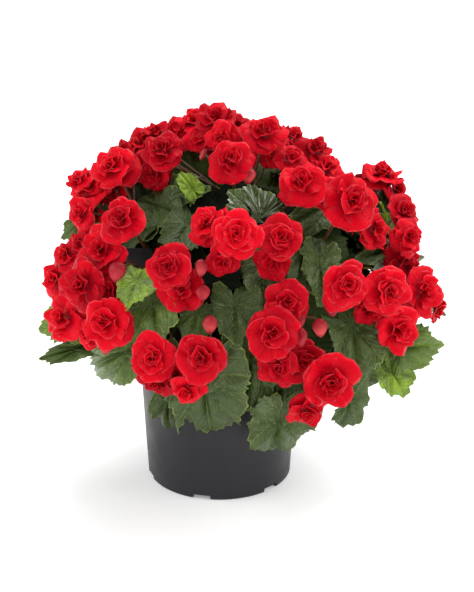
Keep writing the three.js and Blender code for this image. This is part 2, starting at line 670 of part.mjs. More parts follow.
// A leaf on its stalk, which leaves the stem at about the leaf's height and clears the pot's lip. The leaf is
// moved, in or out along its line of sight and a little aside, till it clears what stands in its way.
const leafShifts = [0, -5, 5, -10, -15, -20, -28, -36];
const leafSteps = [[0, 0], [5, 0], [-5, 0], [0, 5], [0, -5]];
function growLeaf([name, round], number, rooms) {
  const [heart, tip, width] = leaves[name];
  const tried = leafShifts.flatMap((shift) => leafSteps.map((step) => [shift, ...step]));
  const choices = tried.map(([out, right, below]) => {
    const moved = ([across, down, lift]) => seenAt(across + right, down + below, lift + out);
    const seenHeart = moved(heart);
    const leaf = {
      heart: turnedPlace(seenHeart, round),
      tip: turnedPlace(moved(tip), round),
      look: turnedLook(lookingOut(seenHeart, 0.5), round),
      width: width * pictureScale(seenHeart),
    };
    const head = leafHead(leaf);
    const shift = Math.abs(out) + 1.5 * Math.hypot(right, below);
    return { leaf, head, shift, room: leafRoom(head, leaf) };
  });
  const { leaf, head, room } = clearest(choices, rooms, 1.5);
  const height = THREE.MathUtils.clamp(head.place.z - 18, soil.top + 56, stemTop(number) - 6);
  const start = stemPointAt(number, height);
  const made = clearPath(start, head, stalk.petiole, rooms, 0.1 * start.distanceTo(head.place));
  const solid = leafSolid(head, leaf, stalkRings(made.path, stalk.petiole, head));
  return { solid, rooms: [room, made.room] };
}

// The pot's wall, lip and floor in one profile, then its notches cut through the foot.
function potSolid() {
  const { rim, base, height, wall, floor, lipHeight, lipProud } = pot;
  const wallAt = (z) => base / 2 + ((rim / 2 - lipProud - base / 2) * z) / height;
  const profile = [
    [0, 0], [base / 2 - 1, 0], [wallAt(2), 2], [wallAt(height - lipHeight - 2), height - lipHeight - 2],
    [rim / 2, height - lipHeight], [rim / 2, height], [wallAt(height) - wall, height],
    [wallAt(floor + 3) - wall, floor + 3], [base / 2 - 6, floor], [0, floor],
  ].map(([r, z]) => new THREE.Vector2(r, z));
  const cup = new THREE.LatheGeometry(profile, pot.sides).rotateX(90 * DEGREE);
  const cuts = Array.from({ length: notch.count }, (_, i) => {
    const bearing = notch.first + (i * FULL_TURN) / notch.count;
    const block = new THREE.BoxGeometry(notch.width, notch.depth * 2, notch.height * 2);
    block.translate(0, -base / 2, 0).rotateZ(bearing);
    return solidOf(block);
  });
  return mainPiece(cuts.reduce((left, cut) => left.subtract(cut), solidOf(cup)));
}

// The room that the pot's wall and lip take up: a plain turned ring round them.
function potRoomSolid() {
  const { rim, base, height, sides } = pot;
  const margin = 1;
  const profile = [
    [base / 2 - 4, -margin], [base / 2 + 2 * margin, -margin], [rim / 2 + margin, height - 12],
    [rim / 2 + margin, height + margin], [rim / 2 - 5, height + margin], [base / 2 - 4, -margin],
  ].map(([r, z]) => new THREE.Vector2(r, z));
  return solidOf(new THREE.LatheGeometry(profile, sides).rotateX(90 * DEGREE));
}

// The soil fills the pot to below its lip, with a lumpy top.
function soilSolid() {
  const { base, height, wall, floor, rim, lipProud } = pot;
  const inside = (z) => base / 2 + ((rim / 2 - lipProud - base / 2) * z) / height - wall - soil.gap;
  const foot = floor + soil.gap;
  const profile = [
    [0, foot], [base / 2 - 7, foot], [inside(foot + 4) - 0.4, foot + 4],
    [inside(soil.top) - 0.4, soil.top - 3], [54, soil.top], [27, soil.top], [0, soil.top],
  ].map(([r, z]) => new THREE.Vector2(r, z));
  const fill = new THREE.LatheGeometry(profile, soil.sides).rotateX(90 * DEGREE);
  const places = fill.getAttribute("position");
  for (let i = 0; i < places.count; i++) {
    const [x, y, z] = [places.getX(i), places.getY(i), places.getZ(i)];
    if (z > soil.top - 1) places.setZ(i, z + soil.lump * Math.sin(0.13 * x + 1) * Math.cos(0.11 * y));
  }
  return solidOf(fill);
}

function labelSolid(room) {
  const foot = vector(...label.foot);
  const head = vector(...label.head);
  const sizes = [label.width, label.thickness, foot.distanceTo(head)].map((size) => size + 2 * room);
  const plate = new THREE.BoxGeometry(...sizes);
  plate.rotateZ(-label.turn);
  plate.applyQuaternion(new THREE.Quaternion().setFromUnitVectors(up, head.clone().sub(foot).normalize()));
  const middle = foot.lerp(head, 0.5);
  plate.translate(middle.x, middle.y, middle.z);
  return solidOf(plate);
}

function meshOf(name, solid, material) {
  const mesh = new THREE.Mesh(geometryOf(solid), material);
  mesh.name = name;
  return mesh;
}

// The bare stems, and the same with room round them.
const bareStems = stemLines.map((line) => stemSolid(line, 0));
const roomyStems = stemLines.map((line) => {
  const lower = line.map((p, i) => (i === 0 ? p.clone().addScaledVector(up, -clearance) : p));
  return stemSolid(lower, 1.3 * clearance);
});

// The sprays, each clear of the stems, of the label, of the blooms of others and of the sprays before it.
const plate = labelSolid(0);
const roomyPlate = labelSolid(clearance);
const rooms = [...roomyStems, roomyPlate, potRoomSolid(), ...itemRooms];
const madeSprays = sprayList.map((entry) => {
  const { solid, others, stalkRooms } = growSpray(fullName(entry), rooms);
  const cut = clearOf(solid, [...others, ...roomyStems]);
  rooms.push(...stalkRooms);
  return { name: `spray_${fullName(entry)}`, solid: cut };
});

// The leafy stems, each clear of all sprays and of the leafy stems before it.
const madeStems = bareStems.map((bare, number) => {
  const others = rooms.filter((room) => room !== roomyStems[number]);
  const heartOf = ([name, round]) => turnedPlace(seenAt(...leaves[name][0]), round);
  const own = leafList.filter((entry) => stemFor(heartOf(entry)) === number);
  const grown = [];
  for (const entry of own) {
    grown.push(growLeaf(entry, number, [...others, ...grown.flatMap((leaf) => leaf.rooms)]));
  }
  const whole = join([bare, ...grown.map((leaf) => leaf.solid)]);
  rooms.push(...grown.flatMap((leaf) => leaf.rooms));
  return { name: `leafy_stem_${number + 1}`, solid: clearOf(whole, others) };
});

const plant = new THREE.Group();
plant.add(meshOf("pot", potSolid(), materials.pot));
const holedSoil = [...roomyStems, roomyPlate].reduce((left, hole) => left.subtract(hole), soilSolid());
plant.add(meshOf("soil", mainPiece(holedSoil), materials.soil));
plant.add(meshOf("plant_label", plate, materials.label));
for (const { name, solid } of madeStems) plant.add(meshOf(name, solid, materials.leaf));
for (const { name, solid } of madeSprays) plant.add(meshOf(name, solid, materials.petal));

export default plant;
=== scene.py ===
"""A potted begonia in bloom: fine petals, leaves, stalks, pot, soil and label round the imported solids.

Places are worked out in millimetres, as the plant's solids are, and turned to metres in the meshes.
"""

import math
import random

import bmesh
import bpy
import numpy as np
from mathutils import Matrix, Quaternion, Vector, noise
from mathutils.kdtree import KDTree


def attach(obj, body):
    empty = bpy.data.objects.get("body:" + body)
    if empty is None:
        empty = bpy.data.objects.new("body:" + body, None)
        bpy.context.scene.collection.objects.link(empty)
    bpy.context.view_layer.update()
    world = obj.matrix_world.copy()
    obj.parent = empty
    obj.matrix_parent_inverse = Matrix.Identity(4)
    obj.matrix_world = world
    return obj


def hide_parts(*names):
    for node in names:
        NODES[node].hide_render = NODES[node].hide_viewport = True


bl_info = {
    "name": "Potted begonia",
    "version": (1, 0, 0),
    "blender": (4, 5, 0),
    "location": "3D View > Sidebar > Begonia",
    "description": "Builds a double red begonia in a nursery pot round its packed solids",
    "category": "Object",
}

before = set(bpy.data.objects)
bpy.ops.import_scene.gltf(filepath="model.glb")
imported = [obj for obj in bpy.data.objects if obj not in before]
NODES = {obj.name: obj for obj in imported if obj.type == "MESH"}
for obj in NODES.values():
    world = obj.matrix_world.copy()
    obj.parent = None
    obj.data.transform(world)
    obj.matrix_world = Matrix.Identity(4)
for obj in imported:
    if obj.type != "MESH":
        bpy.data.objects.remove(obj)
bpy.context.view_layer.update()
MM = 0.001
UP = Vector((0, 0, 1))


def linear(code):
    """An sRGB hex colour as linear red, green and blue."""
    shares = [int(code[i : i + 2], 16) / 255 for i in (0, 2, 4)]
    return tuple(c / 12.92 if c <= 0.04045 else ((c + 0.055) / 1.055) ** 2.4 for c in shares)


# The photograph's eye: its place, how far it looks down, and its focal length in points of the picture. The
# camera's sensor is given by its longer side, in millimetres.
PICTURE = {"width": 474, "height": 592}
SIGHT = {"eye": Vector((18.7, -1750, 900)), "pitch": math.radians(21.9), "focus": 1837}
SENSOR = 36

# The sizes of the solids that the fine pieces follow, in millimetres, and some that only the fine ones have.
POT = {"rim": 170, "base": 150, "height": 148, "wall": 1.4, "floor": 1.8, "lip_height": 9, "lip_proud": 2}
NOTCH = {"count": 6, "first": math.radians(-14), "width": 19, "height": 5, "depth": 11, "corner": 1.5}
SOIL = {"top": 133, "gap": 0.3, "lump": 2.4, "crumbs": 260}
LABEL = {
    "width": 34,
    "thickness": 0.8,
    "foot": (-46, -34, 95),
    "head": (-80, -52, 268),
    "turn": 24,
    "corner": 4,
    "point": 4,
    "taper": 26,
    "soft_edge": 0.2,
}

# The dome that the blooms and leaves stand on, the stems in it, and the stalks: their radii, how far one runs
# straight before its end, and how it is rounded.
DOME = {"centre": Vector((26, 0, 187)), "radius": 192}
STEM = {
    "half": 4.2,
    "count": 8,
    "foot_ring": 27,
    "knee_ring": 35,
    "knee_rise": 30,
    "tip_ring": 84,
    "tip_height": 236,
    "tip_shift": 0.8,
    "root_depth": 26,
    "heart_root": 4,
    "heart_knee": (12, 0, 215),
    "heart_top": 296,
    "heart_rise": 0.84,
    "first_knot": 2,
    "knot_spacing": 8,
    "bare_tip": 6,
    "steps": 26,
    "sides": 14,
    "thinning": 0.72,
    "joint": 0.14,
}
STALK = {
    "petiole": 1.7,
    "peduncle": 1.7,
    "pedicel": 1.3,
    "tip": 0.9,
    "neck": 7,
    "sides": 8,
    "step": 7,
    "least_steps": 8,
    "end_swelling": 1.15,
}

# Where a side stalk leaves the main one, in millimetres before its end, and how it moves back by steps, as
# far as a share of the whole, while it would turn too sharply.
FORK = {"first": 30, "spacing": 8, "step": 9, "tries": 6, "furthest": 0.85, "sharpest": 0.75}

# How far blooms and leaves turn from the dome's outward way towards the eye.
BLOOM_TURN = 0.42
LEAF_TURN = 0.5

# Each bloom is [across, down, size, lift, turn, nod]: where its middle is seen in the picture, how wide it
# looks, how far out of the dome it stands, and how far it turns right and nods, in degrees. Each bud is
# [across, down, size, lift].
SPRAYS = {
    "brow_left": {"blooms": [[90, 188, 38, 0], [80, 213, 28, -6, 0, 20], [78, 180, 22, -22]]},
    "crown_far_left": {"blooms": [[112, 167, 38, 0], [125, 150, 27, -14], [114, 191, 30, -16, 0, 20]]},
    "crown_left": {"blooms": [[162, 149, 43, 2], [143, 142, 30, -16], [155, 132, 24, -26]]},
    "crown_left_under": {"blooms": [[154, 171, 32, -18, 10, 50], [131, 171, 24, -12, -30, 10]]},
    "crown_mid_left": {"blooms": [[175, 134, 36, -8], [194, 121, 34, -12], [199, 138, 24, -24, 0, 20]]},
    "crown_mid": {"blooms": [[215, 118, 34, -4], [234, 125, 24, -14], [221, 138, 28, -8, -20, 40]]},
    "crown_heart": {
        "blooms": [[231, 159, 44, 2]],
        "buds": [[248, 176, 17, -10], [203, 155, 13, -22], [214, 160, 13, -24]],
    },
    "crown_right": {"blooms": [[264, 132, 42, 2], [275, 150, 30, -14, 0, 30]]},
    "crown_far_right": {"blooms": [[292, 137, 30, -12], [316, 148, 28, -4], [291, 158, 28, -20]]},
    "brow_right": {"blooms": [[302, 182, 40, 0, -25, 0], [323, 192, 34, -10], [327, 168, 32, -8]]},
    "right_top": {"blooms": [[352, 200, 52, 4], [375, 228, 36, -2, 20, 0]]},
    "right_peak": {"blooms": [[382, 174, 42, -4, 0, -35], [395, 188, 30, -14, 20, 20]]},
    "right_edge_upper": {"blooms": [[403, 211, 28, 0], [409, 236, 30, 0]]},
    "right_edge": {"blooms": [[405, 264, 36, 2], [423, 291, 40, 2], [437, 309, 24, -2, 20, 25]]},
    "right_front": {"blooms": [[347, 285, 46, 4], [371, 311, 25, -8, 0, 20]], "buds": [[332, 308, 16, -8]]},
    "right_low": {"blooms": [[388, 291, 48, 0], [398, 329, 38, 2]]},
    "middle_low": {
        "blooms": [[287, 302, 36, -6], [272, 333, 42, 4]],
        "buds": [[299, 321, 14, -4], [301, 337, 18, 0], [320, 328, 17, -6]],
    },
    "low_right": {
        "blooms": [[330, 381, 52, 6], [308, 411, 42, 4, 0, 30], [279, 367, 34, 0], [304, 362, 38, -16]],
    },
    "middle": {"blooms": [[237, 234, 46, 4], [207, 224, 38, -6, -35, 0], [222, 262, 27, -20, 0, 30]]},
    "middle_right": {"blooms": [[281, 238, 43, 2], [274, 264, 28, -14, 0, 30]]},
    "left_middle": {
        "blooms": [[168, 266, 44, 2], [183, 289, 37, 2]],
        "buds": [[201, 268, 16, -12], [203, 293, 15, -24]],
    },
    "low_middle": {"blooms": [[201, 357, 45, 2], [187, 391, 28, -4, 0, 25]], "buds": [[210, 325, 17, -8]]},
    "low_left": {"blooms": [[152, 358, 43, 4], [157, 382, 28, -6, 0, 30], [177, 374, 26, -20]]},
    "left_upper": {"blooms": [[122, 219, 43, 4], [92, 222, 26, -8]]},
    "left": {
        "blooms": [[102, 249, 40, 0], [82, 244, 30, -12]],
        "buds": [[92, 273, 18, 4], [117, 272, 19, -4]],
    },
    "left_edge": {"blooms": [[66, 255, 28, -6], [57, 279, 34, 0]]},
    "left_low": {"blooms": [[82, 285, 40, 0], [110, 292, 28, -8]]},
    "left_low_edge": {"blooms": [[63, 318, 38, 2]]},
    "left_low_front": {"blooms": [[106, 322, 41, 2], [88, 334, 22, -12]], "buds": [[106, 346, 16, 2]]},
}

# The sprays that have a twin at the back.
BACK_SPRAYS = [
    "right_front", "right_low", "middle_low", "low_right", "middle", "middle_right", "left_middle",
    "low_middle", "low_left", "left", "left_low", "left_low_front",
]

# Each leaf is [[across, down, lift] of its heart, the same of its tip, width, freshness]. Freshness runs from
# 0, for a leaf in the shade painted nearly black as painted shade, to 1 for a young lime one.
LEAVES = {
    "wide_left": [[154, 299, -42], [156, 338, -4], 62, 0.74],
    "bright_left": [[139, 279, -30], [125, 304, -8], 38, 0.8],
    "puckered": [[234, 303, -46], [237, 342, -24], 44, 0.36],
    "grey_middle": [[264, 256, -62], [263, 306, -40], 50, 0.2],
    "glossy": [[259, 219, -58], [231, 190, -34], 52, 0.3],
    "valley_left": [[163, 208, -56], [128, 197, -38], 40, 0.3],
    "valley_right": [[167, 208, -56], [199, 187, -34], 44, 0.4],
    "toothed_left": [[193, 214, -60], [168, 247, -34], 48, 0.14],
    "dark_crown": [[222, 207, -74], [206, 183, -66], 50, 0.0],
    "edge_right": [[332, 206, -50], [291, 221, -36], 38, 0.3],
    "dark_right": [[322, 230, -72], [322, 276, -46], 56, 0.02],
    "grey_right": [[303, 254, -56], [298, 293, -40], 38, 0.2],
    "green_right": [[319, 262, -50], [321, 302, -30], 36, 0.45],
    "right_middle": [[350, 322, -46], [359, 375, -16], 60, 0.4],
    "right_big": [[391, 347, -52], [440, 347, -14], 56, 0.68],
    "right_under": [[388, 364, -58], [408, 389, -34], 40, 0.85],
    "right_bottom": [[349, 388, -50], [343, 431, -40], 36, 0.45],
    "hanging_right": [[281, 414, -52], [269, 455, -38], 62, 0.3],
    "front_right": [[288, 378, -52], [263, 429, -44], 60, 0.24],
    "front_dark": [[251, 344, -46], [244, 411, -36], 58, 0.34],
    "front_big": [[205, 380, -50], [208, 443, -40], 76, 0.22],
    "hanging_left": [[172, 388, -56], [166, 437, -38], 34, 0.3],
    "left_big": [[140, 345, -46], [86, 369, -14], 54, 0.7],
    "left_far": [[79, 317, -46], [41, 328, -8], 44, 0.72],
    "left_thin": [[84, 346, -56], [39, 359, -16], 20, 0.6],
    "left_high": [[86, 222, -34], [62, 236, -6], 30, 0.66],
    "bright_low": [[201, 308, -50], [185, 340, -32], 38, 0.5],
    "right_high": [[388, 250, -46], [358, 256, -30], 34, 0.3],
    "right_bright": [[398, 250, -50], [386, 208, -30], 30, 1.0],
    "crown_left": [[196, 176, -62], [185, 151, -44], 32, 0.25],
    "crown_right": [[277, 206, -74], [263, 184, -64], 38, 0.04],
    "right_shade": [[352, 362, -58], [363, 395, -42], 40, 0.4],
    "left_shade": [[102, 334, -54], [85, 352, -32], 32, 0.4],
    "young_left": [[186, 191, -58], [171, 172, -44], 28, 0.92],
    "shade_right": [[322, 296, -74], [314, 352, -62], 60, 0.02],
    "shade_left": [[110, 262, -66], [96, 306, -54], 54, 0.04],
    "crown_shade": [[224, 196, -62], [216, 158, -48], 56, 0.03],
    "crown_shade_left": [[172, 196, -60], [178, 160, -46], 46, 0.2],
    "crown_shade_right": [[262, 192, -60], [280, 162, -48], 46, 0.05],
    "right_gap": [[346, 258, -66], [366, 228, -58], 46, 0.08],
}

# The leaves with painted reflection streaks, and the gloss up to which a leaf has the dull skin of an old one
# in the painted shade.
GLOSSY_LEAVES = ["glossy"]
DULL_GLOSS = 0.2

# Leaves that close the last gaps between the blooms and aren't in the solids, in the same form.
GAP_LEAVES = {
    "crown_left_gap": [[150, 208, -60], [133, 176, -44], 48, 0.15],
    "right_edge_gap": [[376, 232, -60], [391, 194, -40], 44, 0.2],
    "left_gap": [[108, 232, -62], [92, 205, -44], 42, 0.15],
    "far_left_gap": [[88, 286, -46], [64, 262, -26], 36, 0.2],
    "crown_hub_gap": [[200, 186, -60], [187, 144, -40], 44, 0.05],
    "crown_brow_gap": [[152, 192, -56], [138, 150, -30], 38, 0.1],
    "crown_lime_gap": [[193, 189, -42], [180, 172, -26], 19, 0.92],
    "right_lime_gap": [[391, 254, -34], [387, 206, -12], 13, 1.0],
}

# The leaves that have a twin at the back, and the ones that have a twin at either side.
BACK_LEAVES = [
    "wide_left", "puckered", "grey_middle", "toothed_left", "dark_right", "right_middle", "right_big",
    "right_bottom", "hanging_right", "front_right", "front_dark", "front_big", "left_big", "left_far",
    "bright_low",
]
SIDE_LEAVES = ["puckered", "grey_middle", "shade_right", "toothed_left", "front_dark"]

# The leaves down in the plant, painted nearly black as painted shade: how high they stand on the dome, in
# degrees, how deep under it, how long and wide they are, how fresh, and their stalk's radius at its foot and
# tip.
INNER = {
    "rise": (-16, 68),
    "heart_rise": (44, 80),
    "depth": (56, 96),
    "length": (40, 54),
    "width": (52, 72),
    "freshness_and_shade": (0, 0.06),
    "stalk": (1.8, 1.2),
}

# How far a solid bloom or leaf may have been moved along its line of sight, and a leaf aside in the picture,
# to stand clear of the others, and how a solid stalk may bow, in shares of its span to the right and up.
BLOOM_SHIFTS = [0, 4, -4, 8, -8, -12, 12, -16, -20, -26]
LEAF_SHIFTS = [0, -5, 5, -10, -15, -20, -28, -36]
LEAF_STEPS = [[0, 0], [5, 0], [-5, 0], [0, 5], [0, -5]]
BOWS = [(0, 0)] + [way for bow in (0.12, 0.24, 0.36) for way in ((bow, 0), (-bow, 0), (0, bow), (0, -bow))]

# The solids' skins: a stalk's corners, and a leaf's teeth and notches, as their number and their share of the
# reach. A mark that is farther off than FAR_OFF, in millimetres, counts as that far.
CORNERS = [i * 2 * math.pi / 3 for i in range(3)]
SOLID_TEETH = 16
SOLID_TOOTH = 0.07
FAR_OFF = 3

# The solids' blooms: how far the heart and the back are from the middle in shares of the radius, and some
# points of the skin as [points round, angle of the first in steps, radius, height]. A bud's measures are in
# shares of its size, and it nods and droops by degrees.
FULL_FORM = {
    "back": 0.36,
    "heart": 0.52,
    "marks": [[5, 0, 0.84, 0.04], [5, 0.5, 0.52, 0.06], [4, 0.5, 0.54, 0.34], [4, 1, 0.34, 0.26]],
}
SMALL_FORM = {
    "back": 0.38,
    "heart": 0.4,
    "marks": [[4, 0, 0.82, 0.04], [4, 0.5, 0.5, 0.1], [3, 0.5, 0.42, 0.38]],
}
FULL_BLOOM_SIZE = 44
BLOOM_FULLNESS = 1.1
BUD = {"half": 0.46, "length": 1.1, "widest": -0.1, "sides": 5, "nod": 30}
BUD_DROOP = 56

# A bloom's petals go inwards in a spiral, first the broad guard petals and then the others. Each pair is a
# measure of the outermost and of the innermost petal: length, root height, cupping and waving in shares of
# the bloom's radius, and spread to each side, lean up from flat at the root and change of lean on the way out
# in degrees. Narrowness is the power of its rim's cosine.
SPIRAL = {
    "length": (1.22, 0.28),
    "root": (-0.22, 0.14),
    "cup": (0.05, 0.8),
    "wave": (0.1, 0.36),
    "spread": (84, 66),
    "lean": (8, 80),
    "curl": (-44, -20),
    "narrow": (0.24, 0.4),
}

# The turn from one petal to the next, the number of petals, how far in the guard petals end and the others
# start, in shares of the spiral, the rows and columns of their points, and a bloom's spread over its size.
SPIRAL_STEP = math.radians(137.5)
FULL_PETALS = 16
SMALL_PETALS = 12
GUARD_PETALS = 5
GUARD_INWARD = 0.25
HEART_INWARD = 0.45
GUARD_GRID = (7, 12)
HEART_GRID = (6, 8)
FULL_SPREAD = 0.88
SMALL_SPREAD = 1.08

# A leaf's middle, in shares of the way from its heart to its tip, its breadth in shares of its width, and the
# angle between its main veins. Its rings of points lie at shares of the way to its rim, where it is thinner,
# and each tooth is a slant over three points of the rim. Wide leaves, in millimetres, have more points round.
LEAF_MIDDLE = 0.24
LEAF_BREADTH = 0.8
VEIN_STEP = math.radians(34)
LEAF_RINGS = [0.07, 0.2, 0.36, 0.52, 0.68, 0.82, 0.93, 1.0]
LEAF_THINNING = [1, 1, 0.9, 0.8, 0.7, 0.6, 0.5, 0.35]
TOOTH = [-0.6, 0.1, 1.0]
WIDE_LEAF = 42
LEAF_POINTS = {"wide": 120, "narrow": 84, "inner": 60}

# The order of a spray's materials and of a leafy stem's.
PETAL, BUD_PETAL, FLOWER_STALK = range(3)
WAXY_LEAF, DULL_LEAF, LEAF_STALK = range(3)

# How far the studio floor reaches each way, in metres.
FLOOR_HALF = 8


# Where things are

def seen_at(across, down, lift):
    """The point of the dome, or of one that much larger, that is seen at a point of the picture."""
    pitch = SIGHT["pitch"]
    forward = Vector((0, math.cos(pitch), -math.sin(pitch)))
    upward = Vector((0, math.sin(pitch), math.cos(pitch)))
    right = (across - PICTURE["width"] / 2) / SIGHT["focus"]
    rise = (PICTURE["height"] / 2 - down) / SIGHT["focus"]
    ray = (forward + Vector((right, 0, 0)) + upward * rise).normalized()
    to_centre = DOME["centre"] - SIGHT["eye"]
    nearest = to_centre.dot(ray)
    miss_squared = to_centre.length_squared - nearest * nearest
    reach = DOME["radius"] + lift
    half_chord = math.sqrt(max(0, reach * reach - miss_squared))
    return SIGHT["eye"] + ray * (nearest - half_chord)


def turned_look(look, degrees):
    return Quaternion(UP, math.radians(degrees)) @ look


def turned_place(place, degrees):
    """The same place that many degrees round the dome's upright axis, where a twin is."""
    return turned_look(place - DOME["centre"], degrees) + DOME["centre"]


def picture_scale(place):
    """How many millimetres one point of the picture is, at a place."""
    return (place - SIGHT["eye"]).length / SIGHT["focus"]


def looking_out(place, towards_eye):
    """The way out of the dome at a place, turned a share of the way towards the eye."""
    out = (place - DOME["centre"]).normalized()
    to_eye = (SIGHT["eye"] - place).normalized()
    return (out * (1 - towards_eye) + to_eye * towards_eye).normalized()


def facing_of(place, turn, nod):
    """The way that a bloom or bud faces, turned to the right and nodding by some degrees."""
    look = turned_look(looking_out(place, BLOOM_TURN), turn)
    level = look.cross(UP).normalized()
    return Quaternion(level, math.radians(-nod)) @ look


class Head:
    """What a stalk carries: its middle, the way that it faces, and its heel, where the stalk joins it."""

    def __init__(self, place, facing, across, heel_behind=0):
        self.place = place
        self.facing = facing
        self.across = across
        self.upright = facing.cross(across)
        self.heel_behind = heel_behind

    def spot(self, angle, reach, forward):
        """The place at an angle and a reach round the middle, and that far forward."""
        side = self.across * (reach * math.cos(angle)) + self.upright * (reach * math.sin(angle))
        return self.place + side + self.facing * forward

    def placed(self, local):
        """An array of points in the head's own frame, across, upright and forward, as places."""
        axes = np.array([self.across, self.upright, self.facing])
        return local @ axes + np.array(self.place)


def bloom_head(place, facing, size, spin):
    """A bloom's head, spun about the way that it faces as its solid is."""
    across = Quaternion(facing, spin) @ UP.cross(facing).normalized()
    form = FULL_FORM if size > FULL_BLOOM_SIZE else SMALL_FORM
    return Head(place, facing, across, form["back"] * size / 2)


def bloom_marks(head, size):
    """Some points of the solid's skin, by which a bloom's place is told."""
    form = FULL_FORM if size > FULL_BLOOM_SIZE else SMALL_FORM
    radius = size / 2
    marks = [head.spot(0, 0, form["heart"] * radius)]
    for count, first, reach, height in form["marks"]:
        for i in range(count):
            angle = (i + first) * 2 * math.pi / count
            marks.append(head.spot(angle, reach * radius, height * radius))
    return marks


def bud_head(place, facing, size):
    across = UP.cross(facing).normalized()
    return Head(place, facing, across, 0.5 * BUD["length"] * size)


def bud_marks(head, size):
    radius = BUD["half"] * size
    angles = [i * 2 * math.pi / BUD["sides"] for i in range(BUD["sides"])]
    widest = BUD["widest"] * BUD["length"] * size
    return [head.spot(0, 0, 0.5 * BUD["length"] * size)] + [head.spot(a, radius, widest) for a in angles]


def leaf_reach(angle):
    """How far a leaf's edge is from its heart, in leaf lengths, by the angle from the tip."""
    turn = np.abs(angle) / math.pi
    lobe = 0.66 + 0.34 * np.cos(angle) - 0.1 * np.sin(2 * np.abs(angle))
    return lobe * (1 + 0.08 * np.sin(angle)) + 0.2 * np.exp(-(((turn - 0.72) / 0.16) ** 2))


def leaf_rim(angle, reach):
    """A leaf's edge as ahead, aside and up, the first and last in leaf lengths and aside in widths."""
    ahead = reach * np.cos(angle) - LEAF_MIDDLE
    aside = LEAF_BREADTH * reach * np.sin(angle)
    height = -0.16 * reach**2 + 0.12 * np.abs(aside) + 0.03 * np.sin(3 * angle)
    return ahead, aside, height


class Leaf:
    """A leaf blade: its head, its length and width in millimetres, how fresh it is, down to a leaf painted
    nearly black as painted shade, and how glossy it is.
    """

    def __init__(self, heart, tip, look, width, freshness_and_shade, gloss):
        self.width = width
        self.length = (tip - heart).length
        self.freshness_and_shade = freshness_and_shade
        self.gloss = gloss
        along = (tip - heart).normalized()
        normal = (look - along * look.dot(along)).normalized()
        self.head = Head(heart.lerp(tip, LEAF_MIDDLE), normal, along, heel_behind=1)

    def marks(self):
        """The teeth of the solid's edge."""
        found = []
        for i in range(SOLID_TEETH):
            angle = i * 2 * math.pi / SOLID_TEETH
            cut = -SOLID_TOOTH if i % 2 else SOLID_TOOTH
            reach = leaf_reach(angle - 2 * math.pi if angle > math.pi else angle) * (1 + cut)
            ahead, aside, height = leaf_rim(angle, reach)
            head = self.head
            place = head.place + head.across * (ahead * self.length) + head.upright * (aside * self.width)
            found.append(place + head.facing * (height * self.length))
        return found


def seen_leaf(name, degrees=0, shift=0, right=0, below=0):
    """A leaf of the tables, or its twin, moved as a solid one may have been."""
    heart, tip, width, freshness_and_shade = LEAVES.get(name) or GAP_LEAVES[name]
    moved = [seen_at(a + right, d + below, lift + shift) for a, d, lift in (heart, tip)]
    look = turned_look(looking_out(moved[0], LEAF_TURN), degrees)
    places = [turned_place(place, degrees) for place in moved]
    gloss = 1 if name in GLOSSY_LEAVES else min(0.45, 1.6 * freshness_and_shade)
    return Leaf(*places, look, width * picture_scale(moved[0]), freshness_and_shade, gloss)


# Which of the solids' choices was taken

def tree_of(node):
    """The vertices of a node's solid, in millimetres, to look up the nearest of."""
    vertices = NODES[node].data.vertices
    tree = KDTree(len(vertices))
    for i, vertex in enumerate(vertices):
        tree.insert(vertex.co / MM, i)
    tree.balance()
    return tree


def misfit(marks, tree):
    """How far marks are from a solid's vertices, on average."""
    return sum(min(tree.find(mark)[2], FAR_OFF) for mark in marks) / len(marks)


def stalk_corners(path, half, head, number):
    """The three corners of a solid stalk at one point of its path."""
    direction = (path[number + 1] - path[max(0, number - 1)]).normalized()
    lean = head.facing.rotation_difference(direction)
    return [path[number] + lean @ (head.spot(a, half, 0) - head.place) for a in CORNERS]


def stalk_path(start, head, half, sag, tree):
    """The path of the stalk to a head, bowed as the solid one is."""
    heel = head.spot(0, 0, -head.heel_behind)
    behind = head.spot(0, 0, -head.heel_behind - STALK["neck"])
    span = (behind - start).length
    along = (behind - start).normalized()
    side = along.cross(UP).normalized()
    over = side.cross(along)
    middle = start.lerp(behind, 0.5) + UP * sag
    found = []
    for right, rise in BOWS:
        if right == 0 and rise == 0 and sag == 0:
            path = [start, behind, heel]
            marks = stalk_corners(path, half, head, 1)
        else:
            path = [start, middle + side * (right * span) + over * (rise * span), behind, heel]
            marks = stalk_corners(path, half, head, 1) + stalk_corners(path, half, head, 2)
        found.append((misfit(marks, tree), len(found), path))
    return min(found)[2]


def point_before(path, distance):
    """The point of a path that is that far before its end."""
    left = distance
    for i in range(len(path) - 1, 0, -1):
        step = (path[i] - path[i - 1]).length
        if step >= left:
            return path[i].lerp(path[i - 1], left / step)
        left -= step
    return path[0].copy()


def fork_for(head, path, distance):
    """Where a branch to a head leaves the main stalk."""
    behind = head.spot(0, 0, -head.heel_behind - STALK["neck"])
    furthest = FORK["furthest"] * (path[0] - path[-1]).length
    for i in range(FORK["tries"]):
        fork = point_before(path, min(furthest, distance + FORK["step"] * i))
        if 1 - (behind - fork).normalized().dot(head.facing) < FORK["sharpest"]:
            break
    return fork


def stem_lines():
    """The root, knee and tip of each stem, with the heart stem as the last."""
    lines = []
    for i in range(STEM["count"]):
        bearing = i * 2 * math.pi / STEM["count"]
        towards = Vector((math.sin(bearing), -math.cos(bearing), 0))
        root = towards * STEM["foot_ring"] + UP * (SOIL["top"] - STEM["root_depth"])
        knee = towards * STEM["knee_ring"] + UP * (SOIL["top"] + STEM["knee_rise"])
        above = Vector((DOME["centre"].x * STEM["tip_shift"], 0, STEM["tip_height"]))
        lines.append([root, knee, towards * STEM["tip_ring"] + above])
    root = Vector((STEM["heart_root"], 0, SOIL["top"] - STEM["root_depth"]))
    lines.append([root, Vector(STEM["heart_knee"]), Vector((DOME["centre"].x, 0, STEM["heart_top"]))])
    return lines


